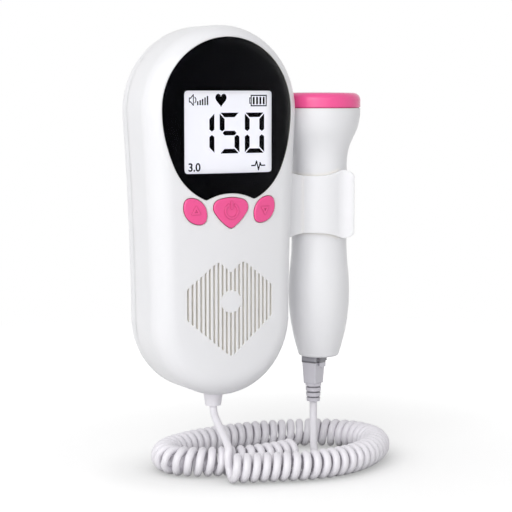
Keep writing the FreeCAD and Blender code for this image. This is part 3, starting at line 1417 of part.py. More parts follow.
def make_socket():
    """A small open box round the plug's nose on the probe's floor, with slots for its pins."""
    walls = "2 * (nose_play + socket_wall)"
    height = f"(-{SOCKET_TOP} + probe_floor)"
    outside = plug_block("socket_outside", "0", "0", "-probe_floor", f"nose_width + {walls}",
                         f"nose_depth + {walls}", height)
    inside = plug_block("socket_inside", "0", "0", "-probe_bottom", "nose_width + 2 * nose_play",
                        "nose_depth + 2 * nose_play", f"{NOSE_TOP} + nose_end_play + probe_bottom")
    slots = [pin_block(f"pin_slot_{index}", x) for index, x in contact_places()]
    publish(cut("probe_socket", outside, inside, *slots), "probe_socket")


def make_latch():
    """A short lever whose pin turns in the housing's ears."""
    plate = plug_block("latch_blank", "0", PIN_Y, f"{PLUG_TOP} - latch_length", "latch_width", "latch_plate",
                       "latch_length - latch_pin_drop + latch_pin")
    pin = doc.addObject("Part::Cylinder", "latch_pin")
    bind(pin, "Radius", "latch_pin")
    bind(pin, "Height", "latch_width + 2 * ear_gap + 2 * ear_width")
    publish(fuse("plug_latch", plate, across_plug(pin, "latch_width / 2 + ear_gap + ear_width")),
            "plug_latch")


def make_boot():
    """A soft sleeve that tapers towards the cord, grooved between its ribs."""
    foot = f"({BOOT_TOP} - boot_length)"

    def radius(rise):
        return f"(boot_end + (boot_radius - boot_end) * ({rise}) / boot_length)"

    points = [("0", foot)]
    points.append((radius("0"), foot))
    for index in range(int(mm("boot_ribs"))):
        low = f"(({index} + 1) * boot_pitch - boot_groove)"
        high = f"(({index} + 1) * boot_pitch)"
        points.append((radius(low), f"{foot} + {low}"))
        points.append((f"{radius(low)} - boot_waist", f"{foot} + {low}"))
        points.append((f"{radius(high)} - boot_waist", f"{foot} + {high}"))
        points.append((radius(high), f"{foot} + {high}"))
    points.append((radius("boot_length"), BOOT_TOP))
    points.append(("0", BOOT_TOP))
    publish(turned("plug_boot", points, PLUG_X, PLUG_Y), "plug_boot")


make_probe_shell()
make_probe_head()
make_plug_housing()
make_plug_contacts()
make_socket()
make_latch()
make_boot()


# ---------------------------------------------------------------------------------------------------
# Clip
# ---------------------------------------------------------------------------------------------------

def make_clip():
    """A springy U round the probe's neck, open to the right, with a flared front lip and a waist."""
    inner, outer = "clip_radius", "(clip_radius + clip_wall)"
    axis_y = "-probe_y"
    start = "probe_x + clip_straight"
    centre_y = f"(-probe_y - {outer} - clip_flare_radius)"
    wide = "(clip_flare_radius + clip_wall)"

    def flared(radius):
        return (f"{start} + {radius} * sin(clip_flare * 1 deg)",
                f"{centre_y} + {radius} * cos(clip_flare * 1 deg)")

    body = new_body("clip_band")
    sketch = sketch_on(body, "XY_Plane", "clip_profile", "clip_centre - clip_tab_half")
    back = "probe_x + clip_back_reach"
    draw(sketch, (
        flared("clip_flare_radius") + ("clip_flare_radius",),
        (start, f"{axis_y} - {outer}"),
        ("probe_x", f"{axis_y} - {outer}", f"-{outer}"),
        (f"probe_x - {outer}", axis_y, f"-{outer}"),
        ("probe_x", f"{axis_y} + {outer}"),
        (back, f"{axis_y} + {outer}"),
        (back, f"{axis_y} + {inner}"),
        ("probe_x", f"{axis_y} + {inner}", inner),
        (f"probe_x - {inner}", axis_y, inner),
        ("probe_x", f"{axis_y} - {inner}"),
        (start, f"{axis_y} - {inner}", f"-{wide}"),
        flared(wide),
    ))
    band = pad(body, sketch, "2 * clip_tab_half")
    beyond = mm("probe_x + clip_straight") + 0.1
    round_edges(body, band, "clip_edge",
                lambda edge: along(Vector(0, 0, 1))(edge) and edge.BoundBox.XMin > beyond)
    base = box("clip_foot", "clip_seat", "-probe_y - clip_base / 2", "clip_centre - clip_tab_half",
               "probe_x - clip_radius - seat_gap - clip_seat", "clip_base", "2 * clip_tab_half")
    low_root, low_tab = "clip_centre - clip_root_half", "clip_centre - clip_tab_half"
    high_root, high_tab = "clip_centre + clip_root_half", "clip_centre + clip_tab_half"
    reach = "probe_x + clip_reach"
    right = mm(reach)
    side = prism("clip_side", (
        ("clip_seat - 1", low_root),
        ("clip_root_x", low_root, "-clip_waist_radius"),
        ("clip_tab_x", low_tab),
        (reach, low_tab),
        (reach, high_tab),
        ("clip_tab_x", high_tab, "-clip_waist_radius"),
        ("clip_root_x", high_root),
        ("clip_seat - 1", high_root),
    ), "2 * housing_depth", "3 * housing_depth", "clip_corner",
        lambda edge: along(Vector(0, 1, 0))(edge) and edge.BoundBox.XMin > right - 0.01)
    pilots = [rod(f"{word}_clip_pilot", "screw_radius + thread_play", "clip_screw_length + hole_play",
                  "clip_seat", "-probe_y", z, RIGHTWARD) for word, z in CLIP_SCREWS]
    publish(cut("probe_clip", common("clip_shaped", fuse("clip_raw", body, base), side),
                housing_form("clip_seat_form", "-clip_gap"), *pilots), "probe_clip")


def make_clip_screws():
    screws = []
    for word, z in CLIP_SCREWS:
        head = rod(f"{word}_clip_head", "screw_head_radius", "screw_head_height",
                   "clip_seat - screw_head_height", "-probe_y", z, RIGHTWARD)
        shank = rod(f"{word}_clip_shank", "screw_radius", "clip_screw_length", "clip_seat", "-probe_y", z,
                    RIGHTWARD)
        screws.append(fuse(f"{word}_clip_screw", head, shank))
    publish(group("clip_screws", *screws), "clip_screws")


make_clip()
make_clip_screws()


# ---------------------------------------------------------------------------------------------------
# Cord: two plain tails and the curly stretch as one fat tube
# ---------------------------------------------------------------------------------------------------

COIL_Z = -92.0
COIL_ROUTE = (
    (-6.0, -40.2), (8.0, -45.6), (24.0, -50.4), (41.0, -48.6), (55.5, -39.5), (66.0, -27.0), (65.6, -12.0),
    (56.0, -1.5), (41.5, 3.8), (26.0, 6.8), (10.0, 5.6), (-5.5, 1.0), (-16.5, -6.5), (-19.5, -18.0),
    (-11.5, -26.0), (1.5, -30.2), (14.5, -31.6), (27.0, -28.6),
)
UNIT_TAIL = (
    (0.0, -15.5, -73.5), (0.0, -15.5, -76.9), (-0.4, -17.2, -80.1), (-1.1, -20.5, -82.7),
    (-2.2, -25.3, -84.2), (-3.3, -30.2, -85.1), (-4.2, -34.3, -86.75), (-4.9, -37.3, -89.7),
    (-5.0, -39.0, -92.7),
)
PROBE_TAIL = (
    (45.5, -12.5, -76.65), (45.5, -12.5, -81.5), (44.6, -14.4, -86.0), (41.8, -18.3, -89.9),
    (37.0, -23.0, -92.3), (31.5, -26.9, -92.9), (27.0, -28.6, -92.0),
)


def cord_tube(name, points, diameter):
    """A round tube along straight runs joined by tangent arcs as large as the runs allow."""
    spots = [Vector(*point) for point in points]
    edges, radii, here = [], [], spots[0]
    for before, corner, after in zip(spots, spots[1:], spots[2:]):
        arriving, leaving = corner - before, after - corner
        reach = 0.45 * min(arriving.Length, leaving.Length)
        turn = arriving.getAngle(leaving)
        arriving.normalize()
        leaving.normalize()
        radius = reach / math.tan(turn / 2)
        inward = leaving - arriving
        inward.normalize()
        start, end = corner - arriving * reach, corner + leaving * reach
        middle = corner + inward * (radius / math.cos(turn / 2) - radius)
        edges += [Part.LineSegment(here, start).toShape(), Part.Arc(start, middle, end).toShape()]
        radii.append(round(radius, 1))
        here = end
    edges.append(Part.LineSegment(here, spots[-1]).toShape())
    path = Part.Wire(edges)
    circle = Part.Wire([Part.makeCircle(diameter / 2, spots[0], spots[1] - spots[0])])
    tube = path.makePipeShell([circle], True, True)
    expected = math.pi * diameter ** 2 / 4 * path.Length
    print(f"{name}: {path.Length:.1f} mm long, radii {radii}, volume off by "
          f"{100 * (tube.Volume / expected - 1):.2f} %")
    feature = doc.addObject("Part::Feature", name)
    feature.Shape = tube
    return publish(feature, name)


cord_tube("cord_tail_unit", UNIT_TAIL, mm("cord_diameter"))
cord_tube("curly_cord", [(x, y, COIL_Z) for x, y in COIL_ROUTE], mm("coil_diameter"))
cord_tube("cord_tail_probe", PROBE_TAIL, mm("cord_diameter"))


# ---------------------------------------------------------------------------------------------------
# Checks and export
# ---------------------------------------------------------------------------------------------------

doc.recompute()
for item in doc.Objects:
    if "Invalid" in item.State or "Error" in item.State:
        raise RuntimeError(f"{item.Label} failed: {item.State}")
    if item.TypeId == "Sketcher::SketchObject" and not item.FullyConstrained:
        raise RuntimeError(f"{item.Label} is not fully constrained")
for item in PIECES:
    if item.Shape.isNull() or not item.Shape.isValid() or not item.Shape.Solids:
        raise RuntimeError(f"{item.Label} has no valid solid")

os.makedirs("parts", exist_ok=True)
for item in PIECES:
    item.Shape.exportStep(f"parts/{item.Label}.step")
print(f"{len(PIECES)} sub-parts written")
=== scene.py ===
"""A hand-held fetal doppler: display unit, clipped probe and curly cord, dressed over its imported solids."""

import math

import bmesh
import bpy
from mathutils import Matrix, Vector


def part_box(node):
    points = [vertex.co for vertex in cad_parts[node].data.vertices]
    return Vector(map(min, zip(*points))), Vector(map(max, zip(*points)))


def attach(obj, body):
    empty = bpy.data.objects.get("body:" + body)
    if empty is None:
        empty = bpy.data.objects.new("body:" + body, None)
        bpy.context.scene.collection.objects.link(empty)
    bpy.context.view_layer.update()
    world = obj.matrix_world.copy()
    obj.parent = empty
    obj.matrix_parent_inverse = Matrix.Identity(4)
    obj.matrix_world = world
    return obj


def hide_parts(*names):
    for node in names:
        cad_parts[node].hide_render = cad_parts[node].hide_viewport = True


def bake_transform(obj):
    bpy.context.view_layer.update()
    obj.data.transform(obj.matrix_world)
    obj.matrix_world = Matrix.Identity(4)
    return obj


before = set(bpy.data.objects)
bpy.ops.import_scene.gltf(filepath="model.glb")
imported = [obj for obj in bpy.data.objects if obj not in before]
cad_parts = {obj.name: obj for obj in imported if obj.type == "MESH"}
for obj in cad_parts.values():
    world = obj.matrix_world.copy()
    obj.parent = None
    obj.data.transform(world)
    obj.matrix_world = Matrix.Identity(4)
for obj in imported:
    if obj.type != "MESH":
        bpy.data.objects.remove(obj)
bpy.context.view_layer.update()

MM = 0.001


# ---------------------------------------------------------------------------------------------------
# Camera
# The unit is seen from its left and a little above, from just over half a metre away.
# ---------------------------------------------------------------------------------------------------

CAMERA_PLACE = Vector((-271.95, -539.16, 41.75)) * MM
CAMERA_TURN = math.radians(29.0)
CAMERA_DROP = math.radians(5.746)
LENS, SENSOR = 112.5, 36.0

camera = bpy.data.objects.new("camera", bpy.data.cameras.new("camera"))
bpy.context.scene.collection.objects.link(camera)
camera.data.lens = LENS
camera.data.sensor_width = SENSOR
camera.location = CAMERA_PLACE
ahead = Vector((math.sin(CAMERA_TURN) * math.cos(CAMERA_DROP),
                math.cos(CAMERA_TURN) * math.cos(CAMERA_DROP), -math.sin(CAMERA_DROP)))
camera.rotation_euler = ahead.to_track_quat("-Z", "Y").to_euler()
bpy.context.scene.camera = camera


# ---------------------------------------------------------------------------------------------------
# Cord
# A soft vinyl cord, wound hot on a mandrel, so its turns are even: down from the unit, round in a long
# spring that lies in an open loop, and from its last turn up to the plug. That last run is a piece of
# its own.
# ---------------------------------------------------------------------------------------------------

def linear(code):
    """An sRGB hex colour as linear red, green, blue and alpha."""
    parts = [int(code[index:index + 2], 16) / 255 for index in (1, 3, 5)]
    return [part / 12.92 if part <= 0.04045 else ((part + 0.055) / 1.055) ** 2.4 for part in parts] + [1.0]


def add(tree, kind, links=(), fixed=(), **settings):
    """Add a shader node. Settings are its properties or its inputs, links are (input, output socket)."""
    item = tree.nodes.new(kind)
    for name, value in settings.items():
        if hasattr(item, name):
            setattr(item, name, value)
        else:
            item.inputs[name.replace("_", " ")].default_value = value
    for name, value in fixed:
        item.inputs[name].default_value = value
    for name, socket in links:
        tree.links.new(socket, item.inputs[name])
    return item


def new_material(name):
    """A material without nodes, and its tree."""
    material = bpy.data.materials.new(name)
    material.use_nodes = True
    material.node_tree.nodes.clear()
    return material, material.node_tree


CLOUD_SIZE = 25 * MM


def moulded(name, colour, shade, roughness, grain, depth, crevice_light_and_shade=None, reach=0.5, edge=None, **finish):
    """A moulded plastic with a faint cloudiness of colour and a skin of fine grain.

    The crevice colour is painted into narrow gaps and at the feet of steps, within the reach: painted shade
    where it is darker than the plastic, painted bounced light where it is lighter. The edge is the radius
    that the mould leaves on every corner, which catches a thin line of light. Grain, depth, reach and edge
    are in millimetres.
    """
    material, tree = new_material(name)
    place = add(tree, "ShaderNodeTexCoord").outputs["Object"]
    cloud = add(tree, "ShaderNodeTexNoise", [("Vector", place)], Scale=1 / CLOUD_SIZE, Detail=2.0)
    tint = add(tree, "ShaderNodeMix", [("Factor", cloud.outputs["Fac"])], data_type="RGBA")
    tint.inputs["A"].default_value = linear(colour)
    tint.inputs["B"].default_value = linear(shade)
    if crevice_light_and_shade:
        # Occlusion within the reach paints the crevice colour into gaps and at the feet of steps.
        crevice_paint_mask = add(tree, "ShaderNodeAmbientOcclusion", Distance=reach * MM, samples=8)
        tint = add(tree, "ShaderNodeMix", [("Factor", crevice_paint_mask.outputs["AO"]), ("B", tint.outputs["Result"])],
                   data_type="RGBA")
        tint.inputs["A"].default_value = linear(crevice_light_and_shade)
    skin = add(tree, "ShaderNodeTexNoise", [("Vector", place)], Scale=1 / (grain * MM), Detail=3.0)
    bump = add(tree, "ShaderNodeBump", [("Height", skin.outputs["Fac"])], Strength=0.5, Distance=depth * MM)
    if edge:
        rounding = add(tree, "ShaderNodeBevel", Radius=edge * MM, samples=6)
        tree.links.new(rounding.outputs["Normal"], bump.inputs["Normal"])
    shader = add(tree, "ShaderNodeBsdfPrincipled", [("Base Color", tint.outputs["Result"]),
                                                    ("Normal", bump.outputs["Normal"])],
                 Roughness=roughness, **finish)
    add(tree, "ShaderNodeOutputMaterial", [("Surface", shader.outputs["BSDF"])])
    return material


# Thickness of the cord and of the coil outside, and the straight run at each end of the coil.
CORD_DIAMETER = 2.9 * MM
COIL_DIAMETER = 10.9 * MM
COIL_TURNS = 68.25
TURN_STEPS = 28
RUN = 3.5 * MM

# The routes are in millimetres. The coil's middle line lies level, and a tail leads to each of its ends.
COIL_HEIGHT = -92.0
COIL_ROUTE = (
    (-6.0, -40.2), (8.0, -45.6), (24.0, -50.4), (41.0, -48.6), (55.5, -39.5), (66.0, -27.0), (65.6, -12.0),
    (56.0, -1.5), (41.5, 3.8), (26.0, 6.8), (10.0, 5.6), (-5.5, 1.0), (-16.5, -6.5), (-19.5, -18.0),
    (-11.5, -26.0), (1.5, -30.2), (14.5, -31.6), (27.0, -28.6),
)
UNIT_TAIL = (
    (0.0, -15.5, -73.5), (0.0, -15.5, -76.2), (-0.9, -21.0, -79.6), (-2.4, -29.6, -83.4),
    (-3.8, -35.4, -86.4),
)
PROBE_TAIL = (
    (30.6, -34.4, -96.1), (34.0, -33.2, -96.1), (37.4, -28.6, -95.4), (39.5, -22.8, -93.0),
    (42.4, -17.9, -89.6), (44.4, -14.4, -85.5), (45.5, -12.5, -81.2), (45.5, -12.5, -76.65),
)


def route_line(name, places):
    """Points along the smooth spline that has these places as its control points."""
    curve = bpy.data.curves.new(name, "CURVE")
    curve.dimensions = "3D"
    curve.resolution_u = 12
    spline = curve.splines.new("NURBS")
    spline.points.add(len(places) - 1)
    for point, spot in zip(spline.points, places):
        point.co = (*spot, 1.0)
    spline.order_u = 3
    spline.use_endpoint_u = True
    holder = bpy.data.objects.new(name, curve)
    line = [vert.co.copy() for vert in bpy.data.meshes.new_from_object(holder).vertices]
    bpy.data.objects.remove(holder)
    return line


def wound(line):
    """The winding round a centre line: it starts behind the line, goes down, and comes up in front."""
    reached = [0.0]
    for before, after in zip(line, line[1:]):
        reached.append(reached[-1] + (after - before).length)
    up = Vector((0, 0, 1))
    radius = (COIL_DIAMETER - CORD_DIAMETER) / 2
    steps = round(COIL_TURNS * TURN_STEPS)
    points, stretch = [], 0
    for step in range(steps + 1):
        along = reached[-1] * step / steps
        while stretch < len(reached) - 2 and reached[stretch + 1] < along:
            stretch += 1
        share = (along - reached[stretch]) / (reached[stretch + 1] - reached[stretch])
        heading = (line[stretch + 1] - line[stretch]).normalized()
        behind = up.cross(heading)
        angle = 2 * math.pi * step / TURN_STEPS
        points.append(line[stretch].lerp(line[stretch + 1], share)
                      + radius * (math.cos(angle) * behind - math.sin(angle) * up))
    return points


def cord_curve(name, points):
    """A round cord along points, closed at its ends."""
    curve = bpy.data.curves.new(name, "CURVE")
    curve.dimensions = "3D"
    curve.bevel_depth = CORD_DIAMETER / 2
    curve.bevel_resolution = 4
    curve.use_fill_caps = True
    spline = curve.splines.new("POLY")
    spline.points.add(len(points) - 1)
    for point, spot in zip(spline.points, points):
        point.co = (*spot, 1.0)
    spline.use_smooth = True
    return bpy.data.objects.new(name, curve)


coil_points = wound(route_line("coil_route", [Vector((x, y, COIL_HEIGHT)) * MM for x, y in COIL_ROUTE]))
run_in = (coil_points[1] - coil_points[0]).normalized() * RUN
run_out = (coil_points[-1] - coil_points[-2]).normalized() * RUN
unit_points = route_line("unit_tail", [Vector(spot) * MM for spot in UNIT_TAIL]
                         + [coil_points[0] - run_in, coil_points[0]])
giving_points = route_line("probe_tail", [coil_points[-1], coil_points[-1] + run_out]
                           + [Vector(spot) * MM for spot in PROBE_TAIL])

# Soft vinyl has a dull sheen and an almost smooth skin.
vinyl = moulded("soft_vinyl", "#ECEAEF", "#E7E4EA", 0.38, 0.7, 0.006, IOR=1.52)

cord = cord_curve("curly_vinyl_cord", unit_points[:-1] + coil_points)
bpy.context.scene.collection.objects.link(cord)
cord.data.materials.append(vinyl)
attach(cord, "root")
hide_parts("cord_tail_unit", "curly_cord")

giving_curve = cord_curve("giving_curve", giving_points)
giving_mesh = bpy.data.meshes.new_from_object(giving_curve)
bpy.data.objects.remove(giving_curve)
giving_cord = bpy.data.objects.new("cord_to_the_probe", giving_mesh)
bpy.context.scene.collection.objects.link(giving_cord)
giving_mesh.materials.append(vinyl)
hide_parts("cord_tail_probe")
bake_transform(giving_cord)


# ---------------------------------------------------------------------------------------------------
# White mouldings
# The shells, the battery cover, the clip and the probe's body are moulded in white ABS. Their moulds
# are polished, so the skin is satin-gloss and carries only a faint ripple, and light soaks in a little.
# The strain relief is moulded on the cord in the same vinyl.
# ---------------------------------------------------------------------------------------------------

def dress(material, *names):
    """Give CAD nodes their finish."""
    for name in names:
        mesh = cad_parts[name].data
        mesh.materials.clear()
        mesh.materials.append(material)


# Its crevice colour is lighter and warmer than the plastic: painted bounced light in slots, seams and gaps.
white_abs = moulded("white_abs", "#E9E9EB", "#E6E6E9", 0.32, 1.2, 0.008, crevice_light_and_shade="#FFFAF1",
                    reach=1.6, edge=0.25, IOR=1.52, Subsurface_Weight=0.6, Subsurface_Scale=1.6 * MM,
                    Subsurface_Radius=(1.0, 1.0, 1.0))
dress(white_abs, "front_shell", "rear_shell", "battery_cover", "probe_shell", "probe_clip")
dress(vinyl, "cord_relief")


# ---------------------------------------------------------------------------------------------------
# Pink mouldings
# The three keys and the ring round the probe's face are moulded in pink ABS with polished faces. Shade
# is painted as a deeper pink into the gaps round the keys and at the feet of their raised symbols.
# ---------------------------------------------------------------------------------------------------

pink_abs = moulded("pink_abs", "#EE5294", "#EC4E91", 0.24, 0.9, 0.005, crevice_light_and_shade="#9E1450", edge=0.2,
                   IOR=1.52)
dress(pink_abs, "power_button", "up_button", "down_button", "probe_ring")

# The sensing face is a pale cast resin, smooth and without gloss.
face_resin = moulded("face_resin", "#F4DCE4", "#F0D6DF", 0.35, 1.0, 0.006, IOR=1.5)
dress(face_resin, "probe_face")


# ---------------------------------------------------------------------------------------------------
# Display window and its mask
# A clear acrylic lens with a coating against reflections lies over a film that is printed black except
# for the view of the display, whose corners the print rounds.
# ---------------------------------------------------------------------------------------------------

# The coating takes most of the mirror image away, so the window looks black and only slightly wiped.
WIPE_SIZE = 14 * MM
acrylic, acrylic_tree = new_material("coated_acrylic")
acrylic_place = add(acrylic_tree, "ShaderNodeTexCoord").outputs["Object"]
wiping = add(acrylic_tree, "ShaderNodeTexNoise", [("Vector", acrylic_place)], Scale=1 / WIPE_SIZE,
             Detail=4.0)
haze = add(acrylic_tree, "ShaderNodeMapRange", [("Value", wiping.outputs["Fac"])],
           fixed=(("To Min", 0.01), ("To Max", 0.05)))
acrylic_shader = add(acrylic_tree, "ShaderNodeBsdfPrincipled", [("Roughness", haze.outputs["Result"])],
                     IOR=1.49, Transmission_Weight=1.0, Specular_Tint=(0.02, 0.02, 0.03, 1.0))
add(acrylic_tree, "ShaderNodeOutputMaterial", [("Surface", acrylic_shader.outputs["BSDF"])])
dress(acrylic, "display_window")

# Screen ink is flat and deep black.
mask_ink = moulded("mask_ink", "#040407", "#06060A", 0.45, 0.8, 0.002, IOR=1.5,
                   Specular_IOR_Level=0.015)
dress(mask_ink, "window_mask")

# The radius of the window's crown, and the view that the print leaves open.
CROWN = 168.7 * MM
VIEW_HALF = Vector((17.8, 14.8)) * MM
VIEW_HEIGHT = 28.5 * MM
CORNER_RADIUS = 1.3 * MM
CORNER_STEPS = 8
PRINT_DEPTH, PRINT_PROUD = 0.2 * MM, 0.03 * MM


def thickened(mesh, faces, depth):
    """Give flat upright faces a depth, towards the front."""
    moved = bmesh.ops.extrude_face_region(mesh, geom=faces)["geom"]
    bmesh.ops.translate(mesh, vec=(0, -depth, 0),
                        verts=[item for item in moved if isinstance(item, bmesh.types.BMVert)])


def printed(mesh, corners, front, depth):
    """A thin upright plate from the corners of its outline in x and z, from its front backwards."""
    thickened(mesh, [mesh.faces.new([mesh.verts.new((x, front + depth, z)) for x, z in corners])], depth)


def finished(name, mesh, material, body="root"):
    """Turn a bmesh into a piece of a body with its finish."""
    bmesh.ops.recalc_face_normals(mesh, faces=mesh.faces)
    data = bpy.data.meshes.new(name)
    mesh.to_mesh(data)
    mesh.free()
    piece = bpy.data.objects.new(name, data)
    bpy.context.scene.collection.objects.link(piece)
    data.materials.append(material)
    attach(piece, body)
    return piece


corner_prints = bmesh.new()
corner_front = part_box("window_mask")[0].y + CROWN - math.sqrt(CROWN ** 2 - VIEW_HALF.x ** 2) - PRINT_PROUD
for side in (-1, 1):
    for level in (-1, 1):
        tip = Vector((side * VIEW_HALF.x, VIEW_HEIGHT + level * VIEW_HALF.y))
        hub = tip - Vector((side, level)) * CORNER_RADIUS
        turns = [index / CORNER_STEPS * math.pi / 2 for index in range(CORNER_STEPS + 1)]
        arc = [hub + CORNER_RADIUS * Vector((side * math.sin(turn), level * math.cos(turn)))
               for turn in turns]
        printed(corner_prints, [tip, *arc], corner_front, PRINT_DEPTH)
finished("view_corner_prints", corner_prints, mask_ink)


# ---------------------------------------------------------------------------------------------------
# Painted shadow under the probe's ring
# A thin dark plum band set in the groove under the pink ring stands in for the shade in that gap: a
# painted shadow that draws a thin dark line round the head.
# ---------------------------------------------------------------------------------------------------

HEAD_AXIS = Vector((47.5, -13.0, 0.0)) * MM
SHADOW_BAND_RADIUS, SHADOW_BAND_WALL = 15.5 * MM, 0.2 * MM
SHADOW_BAND_LOW, SHADOW_BAND_HIGH = 36.43 * MM, 36.77 * MM
SHADOW_BAND_SIDES = 128

shadow_band = bmesh.new()
bmesh.ops.create_cone(shadow_band, cap_ends=False, segments=SHADOW_BAND_SIDES, radius1=SHADOW_BAND_RADIUS, radius2=SHADOW_BAND_RADIUS,
                      depth=SHADOW_BAND_HIGH - SHADOW_BAND_LOW)
bmesh.ops.recalc_face_normals(shadow_band, faces=shadow_band.faces)
bmesh.ops.solidify(shadow_band, geom=list(shadow_band.faces), thickness=SHADOW_BAND_WALL)
bmesh.ops.translate(shadow_band, verts=shadow_band.verts, vec=HEAD_AXIS + Vector((0, 0, (SHADOW_BAND_HIGH + SHADOW_BAND_LOW) / 2)))
# The band is matt and dark plum, so it reads as the painted shadow in the groove.
shadow_band_plum = moulded("shadow_band_plum", "#8E2A58", "#842450", 0.6, 0.6, 0.005, IOR=1.43)
finished("probe_shadow_band", shadow_band, shadow_band_plum, "probe")


# ---------------------------------------------------------------------------------------------------
# Display
# A lit liquid-crystal glass, nearly white and a little uneven, with dull black segments on its front: a
# large rate of three figures, a horn, five bars, a heart and a cell above it, and the frequency and a
# pulse mark below it.
# ---------------------------------------------------------------------------------------------------

BLOOM_SIZE = 18 * MM
lit_glass, lit_tree = new_material("lit_display_glass")
lit_place = add(lit_tree, "ShaderNodeTexCoord").outputs["Object"]
bloom = add(lit_tree, "ShaderNodeTexNoise", [("Vector", lit_place)], Scale=1 / BLOOM_SIZE, Detail=1.0)
lit = add(lit_tree, "ShaderNodeMix", [("Factor", bloom.outputs["Fac"])], data_type="RGBA")
lit.inputs["A"].default_value = linear("#F4F4FB")
lit.inputs["B"].default_value = linear("#EEEFF8")
glow = add(lit_tree, "ShaderNodeBsdfPrincipled", [("Base Color", lit.outputs["Result"]),
                                                  ("Emission Color", lit.outputs["Result"])],
           Roughness=0.5, Emission_Strength=0.7, Specular_IOR_Level=0.1)
add(lit_tree, "ShaderNodeOutputMaterial", [("Surface", glow.outputs["BSDF"])])
dress(lit_glass, "lcd_panel", "backlight")

glass_low, glass_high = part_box("lcd_panel")
OFF_MIDDLE_X, OFF_MIDDLE_Z = 0.47 * MM, -0.13 * MM
LAYOUT_X = (glass_low.x + glass_high.x) / 2 + OFF_MIDDLE_X
LAYOUT_Z = (glass_low.z + glass_high.z) / 2 + OFF_MIDDLE_Z
SEGMENT_DEPTH = 0.02 * MM

# The layout is in millimetres from its middle. A figure has half a width and half a height, lying and
# standing bars of their own width, mitred corners, and points where the standing bars meet.
FIGURE_X, FIGURE_Z = 4.02, 7.35
LYING, STANDING = 1.65, 2.0
MITRE = 0.3
SHOULDER, POINT = 1.35, 0.6
MIDDLE_X = 2.85
FIGURES = (("1", -9.52), ("5", 0.68), ("0", 10.95))
FIGURES_Z = -0.32
LIT_BARS = {"0": "abcdef", "1": "bc", "5": "acdfg"}

segments = bmesh.new()


def plate(corners):
    """A segment on the glass from its corners."""
    printed(segments, [(LAYOUT_X + x * MM, LAYOUT_Z + z * MM) for x, z in corners],
            glass_low.y - SEGMENT_DEPTH, SEGMENT_DEPTH)


def stroke(points, width, x=0.0, z=0.0):
    """A line of even width through points, counted from a place, square at its ends."""
    points = [(x + point_x, z + point_z) for point_x, point_z in points]
    for start, end in zip(points, points[1:]):
        start, end = Vector(start), Vector(end)
        along = (end - start).normalized() * width / 2
        across = Vector((-along.y, along.x))
        plate([start - along - across, start - along + across, end + along + across,
               end + along - across])


lying_bar = [(-FIGURE_X + MITRE, FIGURE_Z), (FIGURE_X - MITRE, FIGURE_Z),
             (FIGURE_X - MITRE - LYING, FIGURE_Z - LYING), (-FIGURE_X + MITRE + LYING, FIGURE_Z - LYING)]
standing_bar = [(-FIGURE_X, FIGURE_Z - MITRE), (-FIGURE_X, SHOULDER), (-FIGURE_X + STANDING / 2, POINT),
                (-FIGURE_X + STANDING, SHOULDER), (-FIGURE_X + STANDING, FIGURE_Z - MITRE - STANDING)]
middle_bar = [(-MIDDLE_X, 0), (-MIDDLE_X + LYING / 2, LYING / 2), (MIDDLE_X - LYING / 2, LYING / 2),
              (MIDDLE_X, 0), (MIDDLE_X - LYING / 2, -LYING / 2), (-MIDDLE_X + LYING / 2, -LYING / 2)]
BARS = {"a": (lying_bar, 1, 1), "b": (standing_bar, -1, 1), "c": (standing_bar, -1, -1),
        "d": (lying_bar, 1, -1), "e": (standing_bar, 1, -1), "f": (standing_bar, 1, 1),
        "g": (middle_bar, 1, 1)}
for figure, figure_x in FIGURES:
    for letter in LIT_BARS[figure]:
        bar, flip_x, flip_z = BARS[letter]
        plate([(figure_x + flip_x * x, FIGURES_Z + flip_z * z) for x, z in bar])

# The heart follows the usual heart curve of sines and cosines, which is 29 units high.
HEART_X, HEART_Z, HEART_WIDTH, HEART_HEIGHT = -2.78, 11.36, 4.55, 4.95
HEART_STEPS, CURVE_HEIGHT, CURVE_RISE = 48, 29, 2.6
heart = []
for index in range(HEART_STEPS):
    turn = 2 * math.pi * index / HEART_STEPS
    level = (13 * math.cos(turn) - 5 * math.cos(2 * turn) - 2 * math.cos(3 * turn) - math.cos(4 * turn)
             + CURVE_RISE)
    heart.append((HEART_X + HEART_WIDTH / 2 * math.sin(turn) ** 3,
                  HEART_Z + HEART_HEIGHT / CURVE_HEIGHT * level))
plate(heart)

# The cell is an outline with a nub on its left and four full bars in it.
CELL_X, CELL_Z, CELL_HALF_X, CELL_HALF_Z, CELL_LINE = 12.7, 11.36, 3.12, 1.88, 0.44
NUB_REACH, NUB_HALF, NUB_LINE = 0.6, 0.95, 0.36
CHARGES, CHARGE_PITCH, CHARGE_HALF, CHARGE_WIDTH = 4, 1.38, 0.98, 0.78
stroke([(side_x * CELL_HALF_X, side_z * CELL_HALF_Z)
        for side_x, side_z in ((-1, -1), (1, -1), (1, 1), (-1, 1), (-1, -1))], CELL_LINE, CELL_X, CELL_Z)
stroke([(0, -NUB_HALF), (-NUB_REACH, -NUB_HALF), (-NUB_REACH, NUB_HALF), (0, NUB_HALF)], NUB_LINE,
       CELL_X - CELL_HALF_X, CELL_Z)
for index in range(CHARGES):
    stroke([(0, -CHARGE_HALF), (0, CHARGE_HALF)], CHARGE_WIDTH,
           CELL_X + (index - (CHARGES - 1) / 2) * CHARGE_PITCH, CELL_Z)

